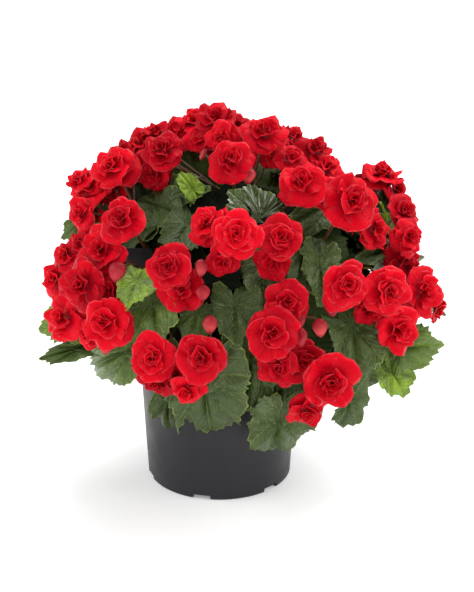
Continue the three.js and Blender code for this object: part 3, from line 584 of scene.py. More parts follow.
def smooth_line(points, steps):
    """Points along a centripetal Catmull-Rom curve through some points."""
    padded = [points[0] * 2 - points[1], *points, points[-1] * 2 - points[-2]]
    spans = len(points) - 1
    found = []
    for k in range(steps + 1):
        share = spans * k / steps
        i = min(int(share), spans - 1)
        t = share - i
        a, b, c, d = padded[i : i + 4]
        first, middle, last = (max((q - p).length, 1e-4) ** 0.5 for p, q in ((a, b), (b, c), (c, d)))
        leave = ((b - a) / first - (c - a) / (first + middle) + (c - b) / middle) * middle
        reach = ((c - b) / middle - (d - b) / (middle + last) + (d - c) / last) * middle
        square, cube = t * t, t * t * t
        curve = b + leave * t + (c * 3 - b * 3 - leave * 2 - reach) * square
        found.append(curve + (b * 2 - c * 2 + leave + reach) * cube)
    return found


STEM_LINES = stem_lines()
STEM_POINTS = [smooth_line(line, 40) for line in STEM_LINES]


def stem_for(place):
    """The number of the stem that bears what is at a place. The last one is the heart stem."""
    out = place - DOME["centre"]
    if out.z > STEM["heart_rise"] * out.length:
        return len(STEM_LINES) - 1
    bearing = math.atan2(out.x, -out.y)
    step = 2 * math.pi / STEM["count"]
    return math.floor((bearing + 2 * math.pi) / step + 0.5) % STEM["count"]


def stem_point_at(number, height):
    return min(STEM_POINTS[number], key=lambda point: abs(point.z - height))


# Skins: each is (points, groups of faces, place, edge). For each point, place holds along, across and tone,
# or on a leaf ahead, aside and freshness. Edge holds how far out it is, 1 on the underside, and the gloss.

def shell(grid, thickness, place):
    """A thin closed sheet round a grid of points, rows by columns."""
    rows, columns = grid.shape[:2]
    along = np.gradient(grid, axis=0)
    aside = np.gradient(grid, axis=1)
    normal = np.cross(aside, along)
    normal /= np.maximum(np.linalg.norm(normal, axis=2, keepdims=True), 1e-9)
    taper = np.ones((rows, columns, 1))
    taper[-1], taper[:, 0], taper[:, -1] = 0.5, 0.5, 0.5
    offset = normal * taper * thickness / 2
    points = np.concatenate([(grid + offset).reshape(-1, 3), (grid - offset).reshape(-1, 3)])
    index = np.arange(rows * columns).reshape(rows, columns)
    corners = [index[:-1, :-1], index[:-1, 1:], index[1:, 1:], index[1:, :-1]]
    quads = np.stack(corners, axis=-1).reshape(-1, 4)
    count = rows * columns
    under = quads[:, ::-1] + count
    border = np.concatenate([index[0, :-1], index[:-1, -1], index[-1, :0:-1], index[:0:-1, 0]])
    following = np.roll(border, -1)
    sides = np.stack([following, border, border + count, following + count], axis=-1)
    marks = np.concatenate([place.reshape(-1, 3)] * 2)
    edge = np.zeros((2 * count, 3))
    edge[:, 0] = marks[:, 0]
    edge[count:, 1] = 1
    return points, [quads, under, sides], marks, edge


def ring_faces(count, sides):
    """The faces of a round form: between its rings of points, and from the end rings to the points there."""
    index = np.arange(count * sides).reshape(count, sides)
    turned = np.roll(index, -1, axis=1)
    walls = np.stack([index[:-1], turned[:-1], turned[1:], index[1:]], axis=-1).reshape(-1, 4)
    foot = np.stack([turned[0], index[0], np.full(sides, count * sides)], axis=-1)
    tip = np.stack([index[-1], turned[-1], np.full(sides, count * sides + 1)], axis=-1)
    return [walls, foot, tip]


def tube(line, radii, sides, tone):
    """A round stalk along a line, closed at both ends, with the marks along, round and tone."""
    line = np.array(line)
    direction = np.gradient(line, axis=0)
    direction /= np.linalg.norm(direction, axis=1, keepdims=True)
    oblique = (0.3, 0.1, 0.95)
    side = np.cross(direction[0], oblique)
    side /= np.linalg.norm(side)
    rings = []
    for centre, way, radius in zip(line, direction, radii):
        side = side - way * side.dot(way)
        side /= np.linalg.norm(side)
        other = np.cross(way, side)
        angles = np.arange(sides) * 2 * math.pi / sides
        rings.append(centre + radius * (np.cos(angles)[:, None] * side + np.sin(angles)[:, None] * other))
    count = len(line)
    points = np.concatenate([*rings, line[:1], line[-1:]])
    along = np.repeat(np.linspace(0, 1, count), sides)
    around = np.tile(np.linspace(0, 1, sides), count)
    place = np.stack([along, around, np.full(count * sides, tone)], axis=-1)
    place = np.concatenate([place, [[0, 0, tone], [1, 0, tone]]])
    return points, ring_faces(count, sides), place, np.zeros((len(points), 3))


def linked(name, data):
    """A new object in the scene."""
    made = bpy.data.objects.new(name, data)
    bpy.context.scene.collection.objects.link(made)
    return made


class Pile:
    """The skins that make up one piece, gathered and then made into one mesh object."""

    def __init__(self):
        self.points, self.faces, self.finishes, self.smooth, self.places, self.edges = [], [], [], [], [], []
        self.count = 0

    def add(self, skin, finish, crisp_rim=False):
        """Adds a skin. With a crisp rim, its last group of faces, round the edge of a sheet, stays flat."""
        points, groups, place, edge = skin
        for group in groups:
            self.faces.extend((group + self.count).tolist())
            self.finishes.extend([finish] * len(group))
            self.smooth.extend([not crisp_rim or group is not groups[-1]] * len(group))
        self.points.append(points)
        self.places.append(place)
        self.edges.append(edge)
        self.count += len(points)

    def piece(self, name, materials):
        mesh = bpy.data.meshes.new(name)
        mesh.from_pydata((np.concatenate(self.points) * MM).tolist(), [], self.faces)
        for material in materials:
            mesh.materials.append(material)
        mesh.polygons.foreach_set("material_index", self.finishes)
        mesh.polygons.foreach_set("use_smooth", self.smooth)
        for mark, values in (("place", self.places), ("skin", self.edges)):
            marked = mesh.attributes.new(mark, "FLOAT_VECTOR", "POINT")
            marked.data.foreach_set("vector", np.concatenate(values).astype(np.float32).ravel())
        mesh.update()
        return linked(name, mesh)


def stand_in(piece, slot, *nodes):
    """Lets a piece ride on the part's only body, in the place of its solids."""
    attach(piece, "root")
    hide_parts(*nodes)


# Materials. The meshes' marks tell where on its petal, leaf or stalk each point is.

COLOURS = {"data_type": "RGBA"}
SMOOTH = {"interpolation_type": "SMOOTHSTEP"}


def node(tree, kind, *values, **settings):
    """Adds a node with its settings. The inputs in use get the values in their order, or by name from a dict.
    A value is a number, a colour, an output to link, or a node, which stands for its first output in use."""
    made = tree.nodes.new(f"ShaderNode{kind}")
    for name, value in settings.items():
        setattr(made, name, value)
    if values and isinstance(values[0], dict):
        chosen = [(made.inputs[name], value) for name, value in values[0].items()]
    else:
        chosen = zip([socket for socket in made.inputs if socket.enabled], values)
    for socket, value in chosen:
        if isinstance(value, bpy.types.Node):
            value = next(output for output in value.outputs if output.enabled)
        if isinstance(value, bpy.types.NodeSocket):
            tree.links.new(value, socket)
        elif socket.type == "RGBA":
            socket.default_value = (*value, 1)[:4]
        else:
            socket.default_value = value
    return made


def new_material(name):
    material = bpy.data.materials.new(name)
    material.use_nodes = True
    material.node_tree.nodes.clear()
    return material, material.node_tree


def marks_of(tree, name):
    """The three parts of one of the meshes' marks."""
    found = node(tree, "Attribute", attribute_name=name)
    return node(tree, "SeparateXYZ", found.outputs["Vector"]).outputs


def speckle(tree, grain_mm, detail=2.0, roughness=0.5, stretch=(1, 1, 1)):
    """A noise whose lumps are about that many millimetres."""
    place = node(tree, "TexCoord").outputs["Object"]
    spread = node(tree, "Mapping", {"Vector": place, "Scale": stretch})
    return node(tree, "TexNoise", spread, 1 / MM / grain_mm, detail, roughness)


def layer(tree, base, colour, mask, start, end, least=0.0, most=1.0):
    """Lays a colour over another, by a share that goes smoothly from the least to the most along a mask."""
    share = node(tree, "MapRange", mask, start, end, least, most, **SMOOTH)
    return node(tree, "Mix", share, base, colour, **COLOURS)


def finish_with(tree, height=None, depth_mm=0, **inputs):
    """The surface itself, in relief where it has a height, and the material's output."""
    named = {key.replace("_", " "): value for key, value in inputs.items()}
    if height:
        named["Normal"] = node(tree, "Bump", {"Height": height, "Distance": depth_mm * MM, "Strength": 1.0})
    surface = node(tree, "BsdfPrincipled", named)
    node(tree, "OutputMaterial", {"Surface": surface})


def begonia_petal(settings):
    """Living petal: thin, full of red sap, with a skin of tiny domed cells. It is darker underneath and along
    its fine ribs. Its foot, down in the bloom, is painted deepest red as painted shade, and its rim has
    painted highlights in pale spots. The cells are far finer than they are drawn, which is as coarse as they
    need to show."""
    material, tree = new_material("begonia_petal")
    along, across, tone = marks_of(tree, "place")
    edge, under, _ = marks_of(tree, "skin")
    # Painted shade: each petal darkens towards its foot, down in the bloom.
    body = layer(tree, settings.deep_colour, settings.face_colour, along, 0.1, 0.75)
    # Painted highlight: pale spots along each petal's rim.
    outmost = node(tree, "MapRange", edge, 0.92, 1.0, **SMOOTH)
    spots = node(tree, "MapRange", speckle(tree, 7.0), 0.42, 0.62, 0.08, 0.65, **SMOOTH)
    lit = node(tree, "Math", outmost, spots, operation="MULTIPLY")
    rim_painted_light = node(tree, "Mix", lit, body, settings.rim_highlight_colour, **COLOURS)
    shaded = node(tree, "Math", under, 0.4, operation="MULTIPLY")
    backed = node(tree, "Mix", shaded, rim_painted_light, settings.under_colour, **COLOURS)
    sideways = node(tree, "Math", across, 14.0, operation="MULTIPLY")
    outwards = node(tree, "Math", along, 1.6, operation="MULTIPLY")
    ribs = node(tree, "TexNoise", node(tree, "CombineXYZ", sideways, outwards, tone), 1.4, 2.0)
    ribbed = layer(tree, backed, settings.deep_colour, ribs, 0.45, 0.75, 0.0, 0.28)
    darkened = layer(tree, ribbed, settings.dark_colour, tone, 0.0, 1.0, 0.6, 0.0)
    cells = node(tree, "Math", speckle(tree, 0.9), 0.5, operation="MULTIPLY")
    height = node(tree, "Math", ribs, cells, operation="ADD")
    finish_with(tree, height, 0.35, Base_Color=darkened, Roughness=0.34, IOR=1.42, Specular_IOR_Level=0.06)
    return material


def begonia_bud(settings):
    """The two outer petals of a closed bud, pressed together: waxy and pink where light falls on it, with
    painted shade in crimson at the foot and along the rim, where they meet."""
    material, tree = new_material("begonia_bud")
    along, rim, tone = marks_of(tree, "place")
    patches = node(tree, "MapRange", speckle(tree, 6.0), 0.35, 0.65, -0.2, 0.2, **SMOOTH)
    blush = node(tree, "Math", tone, patches, operation="ADD")
    fresh = node(tree, "Mix", blush, settings.bud_dark_colour, settings.bud_colour, **COLOURS)
    # Painted shade: darker towards the foot and along the rim, where the two petals meet.
    shaded_foot = layer(tree, fresh, settings.bud_shade_colour, along, 0.1, 0.9, 0.95, 0.0)
    rim_painted_light = layer(tree, shaded_foot, settings.bud_shade_colour, rim, 0.45, 1.0, 0.0, 0.75)
    mottling = speckle(tree, 3.0)
    mottled = layer(tree, rim_painted_light, settings.deep_colour, mottling, 0.4, 0.7, 0.0, 0.2)
    finish_with(tree, mottling, 0.3, Base_Color=mottled, Roughness=0.3, IOR=1.42, Specular_IOR_Level=0.18)
    return material


def begonia_leaf(settings, name, shine):
    """Living begonia leaf: a waxy skin, quilted between sunken veins, so it has broken, wet-looking
    highlights. Veins and teeth are paler, young leaves are lime and the underside is a dull light green. A
    leaf deep in the plant is painted nearly black as painted shade and hardly shines, the others have a
    painted grey sheen in patches, and a glossy one has painted reflection streaks. The dimples between the
    finest veins are finer than they are drawn, which is as coarse as they need to show."""
    material, tree = new_material(name)
    ahead, aside, freshness_and_shade = marks_of(tree, "place")
    edge, under, gloss = marks_of(tree, "skin")

    # The main veins fan out from the heart, and the side veins slant off them and wander a little.
    squares = [node(tree, "Math", part, 2.0, operation="POWER") for part in (ahead, aside)]
    reach = node(tree, "Math", node(tree, "Math", *squares, operation="ADD"), operation="SQRT")
    bearing = node(tree, "Math", aside, ahead, operation="ARCTAN2")
    sector = node(tree, "Math", bearing, VEIN_STEP, operation="DIVIDE")
    fold = node(tree, "Math", sector, 0.5, operation="PINGPONG")
    apart = node(tree, "Math", fold, VEIN_STEP, operation="MULTIPLY")
    distance = node(tree, "Math", apart, reach, operation="MULTIPLY")
    main_vein = node(tree, "MapRange", distance, 0.004, 0.022, 1.0, 0.0, **SMOOTH)
    outwards = node(tree, "Math", reach, 40.0, operation="MULTIPLY")
    slanted = node(tree, "Math", fold, 24.0, operation="MULTIPLY")
    rows = node(tree, "Math", outwards, slanted, operation="SUBTRACT")
    wandering = node(tree, "Math", speckle(tree, 16.0), 7.0, operation="MULTIPLY")
    side_wave = node(tree, "Math", node(tree, "Math", rows, wandering, operation="ADD"), operation="SINE")
    side_vein = node(tree, "MapRange", side_wave, 0.72, 1.0, **SMOOTH)
    faint = node(tree, "Math", side_vein, 0.5, operation="MULTIPLY")
    veins = node(tree, "Math", main_vein, faint, operation="MAXIMUM")

    # The colours, from the blade's own, with painted shade on leaves deep in the plant, to what lies over it:
    # painted grey sheen, veins, edge, painted reflection streaks, and the back's.
    # Painted shade: leaves of low freshness run from the face colour to near black, and their paler veins,
    # teeth and backs fade with it.
    out_of_shade = node(tree, "Math", freshness_and_shade, 0.7, operation="POWER")
    unshaded = node(tree, "MapRange", freshness_and_shade, 0.0, 0.4, 0.04, 1.0, **SMOOTH)
    darkened = node(tree, "Mix", out_of_shade, settings.shade_colour, settings.face_colour, **COLOURS)
    young = layer(tree, darkened, settings.young_colour, freshness_and_shade, 0.6, 1.0)
    # Painted sheen: grey patches, stronger on leaves out of the painted shade.
    grey_sheen_patches = node(tree, "MapRange", speckle(tree, 22.0, 3.0), 0.4, 0.62, 0.0, 0.55, **SMOOTH)
    grey_sheen = node(tree, "Math", grey_sheen_patches, out_of_shade, operation="MULTIPLY")
    dusted_and_sheened = node(tree, "Mix", grey_sheen, young, settings.grey_sheen_colour, **COLOURS)
    patched = layer(tree, dusted_and_sheened, settings.shade_colour, speckle(tree, 8.0, 3.0), 0.4, 0.7, 0.0, 0.3)
    thin = node(tree, "Math", veins, 0.36, operation="MULTIPLY")
    drawn = node(tree, "Math", thin, unshaded, operation="MULTIPLY")
    veined = node(tree, "Mix", drawn, patched, settings.vein_colour, **COLOURS)
    outmost = node(tree, "MapRange", edge, 0.95, 1.0, **SMOOTH)
    broken = node(tree, "MapRange", speckle(tree, 12.0), 0.4, 0.65, 0.1, 0.6, **SMOOTH)
    fray = node(tree, "Math", outmost, broken, operation="MULTIPLY")
    fresh_fray = node(tree, "Math", fray, unshaded, operation="MULTIPLY")
    edged = node(tree, "Mix", fresh_fray, veined, settings.edge_colour, **COLOURS)
    # Painted reflection: pale streaks fanning out from the heart of glossy leaves.
    rays = node(tree, "Math", sector, 3.0, operation="MULTIPLY")
    reflection_noise = node(tree, "TexNoise", node(tree, "CombineXYZ", rays, reach), 1.6, 2.0)
    streaks = node(tree, "MapRange", reflection_noise, 0.5, 0.68, 0.0, 0.75, **SMOOTH)
    glossy = node(tree, "MapRange", gloss, 0.6, 1.0, **SMOOTH)
    sheen = node(tree, "Math", streaks, glossy, operation="MULTIPLY")
    sheened = node(tree, "Mix", sheen, edged, settings.reflection_streak_colour, **COLOURS)
    pale = node(tree, "Math", under, 0.8, operation="MULTIPLY")
    pale_back = node(tree, "Math", pale, unshaded, operation="MULTIPLY")
    backed = node(tree, "Mix", pale_back, sheened, settings.under_colour, **COLOURS)

    # The relief, which is lowest along the veins, and the gloss.
    crests = node(tree, "Math", side_wave, 0.0, operation="MAXIMUM")
    creases = node(tree, "Math", crests, 2.0, operation="POWER")
    puffs = node(tree, "Math", 1.0, creases, operation="SUBTRACT")
    dimples = node(tree, "Math", speckle(tree, 5.0), 2.4, operation="MULTIPLY")
    wrinkles = node(tree, "Math", puffs, dimples, operation="ADD")
    height = node(tree, "Math", wrinkles, main_vein, operation="SUBTRACT")
    roughness = node(tree, "MapRange", gloss, 0.0, 1.0, 0.54, 0.16, **SMOOTH)
    finish_with(tree, height, 0.5, Base_Color=backed, Roughness=roughness, IOR=1.45, Specular_IOR_Level=shine)
    return material


def fleshy_stalk(settings):
    """Begonia stem and leaf stalk: juicy and half clear, green with a red flush towards the leaf. The ridges
    of its skin are finer than they are drawn, which is as coarse as they need to show."""
    material, tree = new_material("fleshy_stalk")
    along, _, _ = marks_of(tree, "place")
    half = node(tree, "Math", along, 0.5, operation="MULTIPLY")
    blotches = node(tree, "Math", speckle(tree, 7.0), 0.4, operation="SUBTRACT")
    flush = node(tree, "Math", half, blotches, operation="ADD")
    coloured = node(tree, "Mix", flush, settings.stalk_colour, settings.flush_colour, **COLOURS)
    finish_with(tree, speckle(tree, 1.2), 0.15, Base_Color=coloured, Roughness=0.36, IOR=1.42)
    return material


def flower_stalk(settings):
    """Flower stalk: slender, smooth and wet-looking, reddish brown with darker freckles. Its skin, too, is
    drawn as coarse as it needs to show."""
    material, tree = new_material("flower_stalk")
    along, _, _ = marks_of(tree, "place")
    coloured = node(tree, "Mix", along, settings.stalk_foot_colour, settings.stalk_tip_colour, **COLOURS)
    freckled = layer(tree, coloured, settings.deep_colour, speckle(tree, 2.5), 0.45, 0.7, 0.0, 0.4)
    finish_with(tree, speckle(tree, 1.0), 0.1, Base_Color=freckled, Roughness=0.34, IOR=1.42)
    return material


def moulded_polypropylene(settings):
    """Injection-moulded polypropylene with soot black: satin, with faint flow marks up the wall, and dulled
    by a little dust and handling. The mould's grain is drawn as coarse as it needs to show."""
    material, tree = new_material("moulded_polypropylene")
    flow = speckle(tree, 14.0, 2.0, stretch=(1, 1, 0.08))
    dust = speckle(tree, 30.0, 4.0, 0.6)
    streaked = layer(tree, settings.colour, settings.flow_colour, flow, 0.35, 0.7, 0.0, 0.3)
    dusted_and_sheened = layer(tree, streaked, settings.dust_colour, dust, 0.5, 0.8, 0.0, 0.22)
    roughness = node(tree, "MapRange", dust, 0.3, 0.7, 0.34, 0.52, **SMOOTH)
    marks = node(tree, "Math", flow, 1.5, operation="MULTIPLY")
    height = node(tree, "Math", speckle(tree, 0.6, 1.0), marks, operation="ADD")
    finish_with(tree, height, 0.06, Base_Color=dusted_and_sheened, Roughness=roughness, IOR=1.49, Specular_IOR_Level=0.32)
    return material


def damp_peat(settings):
    """Damp peat and bark fibre: crumbly, nearly black, with browner dry crumbs and no shine."""
    material, tree = new_material("damp_peat")
    crumbs = speckle(tree, 2.5, 6.0, 0.7)
    wet = layer(tree, settings.soil_colour, settings.crumb_colour, crumbs, 0.4, 0.65)
    finish_with(tree, crumbs, 1.2, Base_Color=wet, Roughness=0.95, IOR=1.4)
    return material


def black_polystyrene(settings):
    """Thin polystyrene sheet, printed black all over: smooth, hardly shiny, and rubbed paler in places."""
    material, tree = new_material("black_polystyrene")
    worn = speckle(tree, 12.0, 3.0)
    rubbed = layer(tree, settings.label_colour, settings.rubbed_colour, worn, 0.45, 0.75, 0.0, 0.3)
    unevenness = speckle(tree, 20.0)
    finish_with(tree, unevenness, 0.2, Base_Color=rubbed, Roughness=0.5, IOR=1.55, Specular_IOR_Level=0.12)
    return material


def studio_paper(settings):
    """White background paper on a lit table: matt, and bright even in the shade. Its fine tooth is drawn as
    coarse as it needs to show."""
    material, tree = new_material("studio_paper")
    tooth = node(tree, "Math", speckle(tree, 4.0, 2.0), 0.04, operation="MULTIPLY")
    coloured = node(tree, "Mix", tooth, settings.floor_colour, settings.tooth_colour, **COLOURS)
    lit = {"Emission_Color": (1, 1, 1), "Emission_Strength": settings.glow}
    finish_with(tree, Base_Color=coloured, Roughness=0.9, IOR=1.45, Specular_IOR_Level=0.1, **lit)
    return material


# Blooms, buds and leaves

def waves(angle, *parts):
    """Waves along an angle, added up. Each part is (height, waves in a full turn, phase)."""
    return sum(height * np.sin(count * angle + phase) for height, count, phase in parts)


def petal(length, spread, lean, curl, cup, wave, narrow, rng, rows, columns):
    """A petal in its own frame, out from the bloom's middle, aside and up, as rows by columns of points."""
    share = np.linspace(0.05, 1, rows + 1)[:, None]
    angle = np.linspace(-spread, spread, columns + 1)[None, :]
    phase = rng.uniform(0, 6)
    dent = rng.uniform(0.0, 0.07)
    rim = np.cos(angle) ** narrow * (1 + waves(angle, (0.06, 3, phase), (0.018, 11, phase)))
    rim = rim - dent * np.exp(-((angle / 0.2) ** 2))
    reach = length * rim * share
    aside = reach * np.sin(angle)
    ahead = reach * np.cos(angle)
    ruffle = waves(angle, (1, 4 + 2 * rng.random(), phase), (0.4, 11, 2 * phase))
    height = cup * aside**2 / length + wave * length * share**2.5 * ruffle
    pleats = waves(angle, (1, 13, 3 * phase), (0.6, 23, phase))
    height = height + 0.009 * length * share * pleats
    height = height + rng.uniform(-0.24, 0.24) * aside - 0.05 * length * share**8
    way = ahead / length
    bend = curl if abs(curl) > 1e-3 else 1e-3
    out = length * (np.sin(lean + bend * way) - math.sin(lean)) / bend
    rise = length * (math.cos(lean) - np.cos(lean + bend * way)) / bend
    slope = lean + bend * way
    out = out - height * np.sin(slope)
    rise = rise + height * np.cos(slope)
    grid = np.stack([out, aside, rise], axis=-1)
    place = np.stack(np.broadcast_arrays(share, angle / spread, 0.0), axis=-1)
    return grid, place


def add_bloom(pile, head, size, settings, rng):
    """A double bloom: petals in a spiral, from broad guard petals to the crumpled ones of its heart."""
    full = size > FULL_BLOOM_SIZE
    radius = size / 2 * (FULL_SPREAD if full else SMALL_SPREAD)
    count = FULL_PETALS if full else SMALL_PETALS
    tone = rng.uniform(0.3, 1.0)
    start = rng.uniform(0, 2 * math.pi)
    shut = rng.triangular(-8, 26, 0)
    for i in range(count):
        if i < GUARD_PETALS:
            inward = GUARD_INWARD * i / GUARD_PETALS
        else:
            further = (i - GUARD_PETALS) / (count - GUARD_PETALS - 1)
            inward = HEART_INWARD + (1 - HEART_INWARD) * further
        own = {name: outer + (inner - outer) * inward for name, (outer, inner) in SPIRAL.items()}
        lean = own["lean"] + shut * (1 - inward) + rng.uniform(-8, 8) * (1 + inward)
        turn = start + i * SPIRAL_STEP + rng.uniform(-0.3, 0.3) * (1 + inward)
        grid, place = petal(
            own["length"] * rng.uniform(0.88, 1.06) * (1 + max(0, shut) / 200) * radius,
            math.radians(own["spread"]),
            math.radians(lean),
            math.radians(own["curl"] + rng.uniform(-12, 12)),
            own["cup"],
            own["wave"] * settings.waviness,
            own["narrow"],
            rng,
            *(GUARD_GRID if inward < 0.5 else HEART_GRID),
        )
        place[..., 2] = min(1, max(0, tone + rng.uniform(-0.2, 0.2)))
        out = grid[..., 0] + rng.uniform(0, 0.06) * radius
        aside = grid[..., 1]
        across = out * math.cos(turn) - aside * math.sin(turn)
        upright = out * math.sin(turn) + aside * math.cos(turn)
        local = np.stack([across, upright, grid[..., 2] + own["root"] * radius], axis=-1)
        pile.add(shell(head.placed(local), settings.petal_thickness / MM, place), PETAL, crisp_rim=True)


def add_bud(pile, head, size, settings, rng):
    """A closed bud: a flattened drop that hangs tip down, of two round petals that meet at their rims."""
    lean = math.radians(BUD_DROOP)
    tip_way = head.facing * math.cos(lean) - head.upright * math.sin(lean)
    face_way = head.facing * math.sin(lean) + head.upright * math.cos(lean)
    roll = Quaternion(tip_way, rng.uniform(-1.1, 1.1))
    hung = Head(head.place, tip_way, roll @ head.across)
    face = (roll @ face_way).dot(hung.upright)
    half_length, half_width = 0.58 * size, 0.5 * size
    tone = rng.choice([0.1, 0.3, 0.5, 0.7, 0.9])
    rows, columns = 10, 14
    share = np.linspace(0.02, 0.98, rows + 1)[:, None]
    sweep = np.linspace(-1, 1, columns + 1)[None, :]
    profile = np.sin(math.pi * share) ** 0.62 * (1.16 - 0.56 * share)
    for side, wrap, swell in ((1, 1.62, 1.05), (-1, 1.5, 0.98)):
        angle = sweep * wrap * np.sin(math.pi * share) ** 0.16
        across = half_width * swell * profile * np.sin(angle)
        out = 0.5 * half_width * swell * profile * np.cos(angle) * side
        along = half_length * (2 * share - 1) + 0 * angle
        local = np.stack([across * side, out * face, along], axis=-1)
        rim = np.maximum(np.abs(sweep), 2 * share - 1 + 0 * sweep)
        place = np.stack([share + 0 * angle, rim, np.full_like(angle, tone)], axis=-1)
        pile.add(shell(hung.placed(local), settings.petal_thickness / MM, place), BUD_PETAL, crisp_rim=True)


def add_stalk(pile, path, foot_radius, tip_radius, tone, finish):
    span = sum((b - a).length for a, b in zip(path, path[1:]))
    steps = max(STALK["least_steps"], int(span / STALK["step"]))
    line = smooth_line(path, steps)
    radii = np.linspace(foot_radius, tip_radius, steps + 1)
    radii[-2:] *= STALK["end_swelling"]
    pile.add(tube(line, radii, STALK["sides"], tone), finish)


def add_leaf(pile, leaf, settings, rng, around):
    """A leaf blade as a thin closed sheet, ringed round its middle, with teeth, quilting and a wavy edge."""
    shares = np.array(LEAF_RINGS)[:, None]
    angle = np.arange(around) * 2 * math.pi / around
    signed = np.where(angle > math.pi, angle - 2 * math.pi, angle)
    bite = 0.6 + waves(angle, (0.4, 7, rng.uniform(0, 6)))
    tooth = np.array(TOOTH)[np.arange(around) % len(TOOTH)] * bite
    lobes = 0.045 * np.cos(2 * math.pi * signed / VEIN_STEP) + waves(angle, (0.03, 3, rng.uniform(0, 6)))
    sinus = 0.16 * np.exp(-(((np.abs(signed) - math.pi) / 0.2) ** 2))
    depth = settings.tooth_depth * rng.uniform(0.8, 1.2)
    reach = leaf_reach(signed) * (1 + depth * tooth + lobes) - sinus
    ahead, aside, rim_height = leaf_rim(angle, reach)
    phase = rng.uniform(0, 6)
    x = ahead * shares
    y = aside * shares
    from_heart = np.hypot(x + LEAF_MIDDLE, y / LEAF_BREADTH)
    bearing = np.arctan2(y / LEAF_BREADTH, x + LEAF_MIDDLE)
    pleat = np.abs((bearing / VEIN_STEP + 0.5) % 1 - 0.5)
    relief = min(1, 0.3 + 3 * leaf.freshness_and_shade)
    puff = np.sin(math.pi * pleat) * np.minimum(from_heart * 1.6, 1) * (1.2 - shares)
    quilt = relief * settings.quilting * puff
    wavy = waves(angle, (1, 3, phase), (0.6, 7, 2 * phase), (0.35, 13, phase))
    ruffle = relief * settings.ruffle * shares**2.5 * wavy
    fold = relief * rng.uniform(0.0, 0.34) * np.abs(y)
    height = rim_height * shares**1.5 + quilt + ruffle + fold
    local = np.stack([x * leaf.length, y * leaf.width, height * leaf.length], axis=-1).reshape(-1, 3)
    local = np.concatenate([local, [[0, 0, 0]]])
    thickness = np.concatenate([np.repeat(LEAF_THINNING, around), [1]])
    lift = np.zeros_like(local)
    lift[:, 2] = thickness * settings.leaf_thickness / MM / 2
    points = np.concatenate([leaf.head.placed(local + lift), leaf.head.placed(local - lift)])
    rings = len(shares)
    count = rings * around + 1
    index = np.arange(rings * around).reshape(rings, around)
    turned = np.roll(index, -1, axis=1)
    quads = np.stack([index[:-1], index[1:], turned[1:], turned[:-1]], axis=-1).reshape(-1, 4)
    middle = np.stack([np.full(around, count - 1), index[0], turned[0]], axis=-1)
    rim = np.stack([index[-1], index[-1] + count, turned[-1] + count, turned[-1]], axis=-1)
    faces = [quads, middle, quads[:, ::-1] + count, middle[:, ::-1] + count, rim]
    place = np.zeros((count, 3))
    place[:-1, 0] = (x + LEAF_MIDDLE).ravel()
    place[:-1, 1] = (y / LEAF_BREADTH).ravel()
    place[-1, 0] = LEAF_MIDDLE
    place[:, 2] = min(1, max(0, leaf.freshness_and_shade + rng.uniform(-0.08, 0.08)))
    edge = np.zeros((2 * count, 3))
    edge[:, 2] = leaf.gloss
    edge[: count - 1, 0] = np.repeat(shares.ravel(), around)
    edge[count:-1, 0] = edge[: count - 1, 0]
    edge[count:, 1] = 1
    skin = (points, faces, np.concatenate([place, place]), edge)
    pile.add(skin, WAXY_LEAF if leaf.gloss > DULL_GLOSS else DULL_LEAF, crisp_rim=True)


def with_twins(table, twins):
    """Every entry of a table as (name, degrees round the dome), and so its twins."""
    listed = []
    for name in table:
        turns = [turn for names, several in twins if name in names for turn in several]
        listed.extend((name, turn) for turn in [0, *turns])
    return listed


def full_name(name, degrees):
    return f"{name}_back" if degrees else name


def placed_items(name, degrees, tree):
    """The blooms and buds of a spray, the largest first, each where its solid is."""
    entry = SPRAYS[name]
    listed = [(seen, False) for seen in entry["blooms"]] + [(seen, True) for seen in entry.get("buds", [])]
    items = []
    for seen, is_bud in sorted(listed, key=lambda item: -item[0][2]):
        across, down, width, lift, turn, nod = [*seen, 0, 0][:6]
        choices = []
        for shift in BLOOM_SHIFTS:
            spot = seen_at(across, down, lift + shift)
            place = turned_place(spot, degrees)
            facing = turned_look(facing_of(spot, turn, BUD["nod"] if is_bud else nod), degrees)
            size = width * (1 if is_bud else BLOOM_FULLNESS) * picture_scale(spot)
            head = bud_head(place, facing, size) if is_bud else bloom_head(place, facing, size, 1.3 * across)
            marks = bud_marks(head, size) if is_bud else bloom_marks(head, size)
            choices.append((misfit(marks, tree), len(choices), head, size))
        _, _, head, size = min(choices, key=lambda choice: choice[:2])
        items.append((head, size, is_bud))
    return items


# Settings

def colour_of(name, code, description):
    return bpy.props.FloatVectorProperty(
        name=name, description=description, subtype="COLOR", size=3, min=0, max=1, default=linear(code)
    )


def length_of(name, millimetres, description):
    return bpy.props.FloatProperty(
        name=name, description=description, default=millimetres * MM, min=0, unit="LENGTH", precision=5
    )


def share_of(name, default, description):
    return bpy.props.FloatProperty(
        name=name, description=description, default=default, min=0, subtype="FACTOR"
    )


class BegoniaBloomSettings(bpy.types.PropertyGroup):
    petal_thickness: length_of("Petal thickness", 0.25, "Thickness of a petal at its middle")
    waviness: share_of("Waviness", 1.0, "How much the petals' rims wave")
    face_colour: colour_of("Petal", "de0014", "Face of an open petal")
    # Also painted shade at each petal's foot, down in the bloom.
    deep_colour: colour_of("Petal foot", "74000a", "Petal down in the bloom")
    dark_colour: colour_of("Old petal", "6c000e", "What an older bloom turns towards")
    # Painted highlight on petal rims.
    rim_highlight_colour: colour_of("Petal rim", "f0686c", "Rim of a petal")
    under_colour: colour_of("Petal underside", "bc1028", "Underside of a petal")
    bud_colour: colour_of("Bud", "d8504e", "Young bud where light falls on it")
    bud_dark_colour: colour_of("Dark bud", "96142a", "Bud that is about to open")
    # Painted shade at a bud's foot and along its rim.
    bud_shade_colour: colour_of("Bud foot", "84101e", "Bud where it joins its stalk")
    stalk_foot_colour: colour_of("Stalk foot", "4a3c22", "Flower stalk at its foot")
    stalk_tip_colour: colour_of("Stalk tip", "7c2c26", "Flower stalk below the bloom")


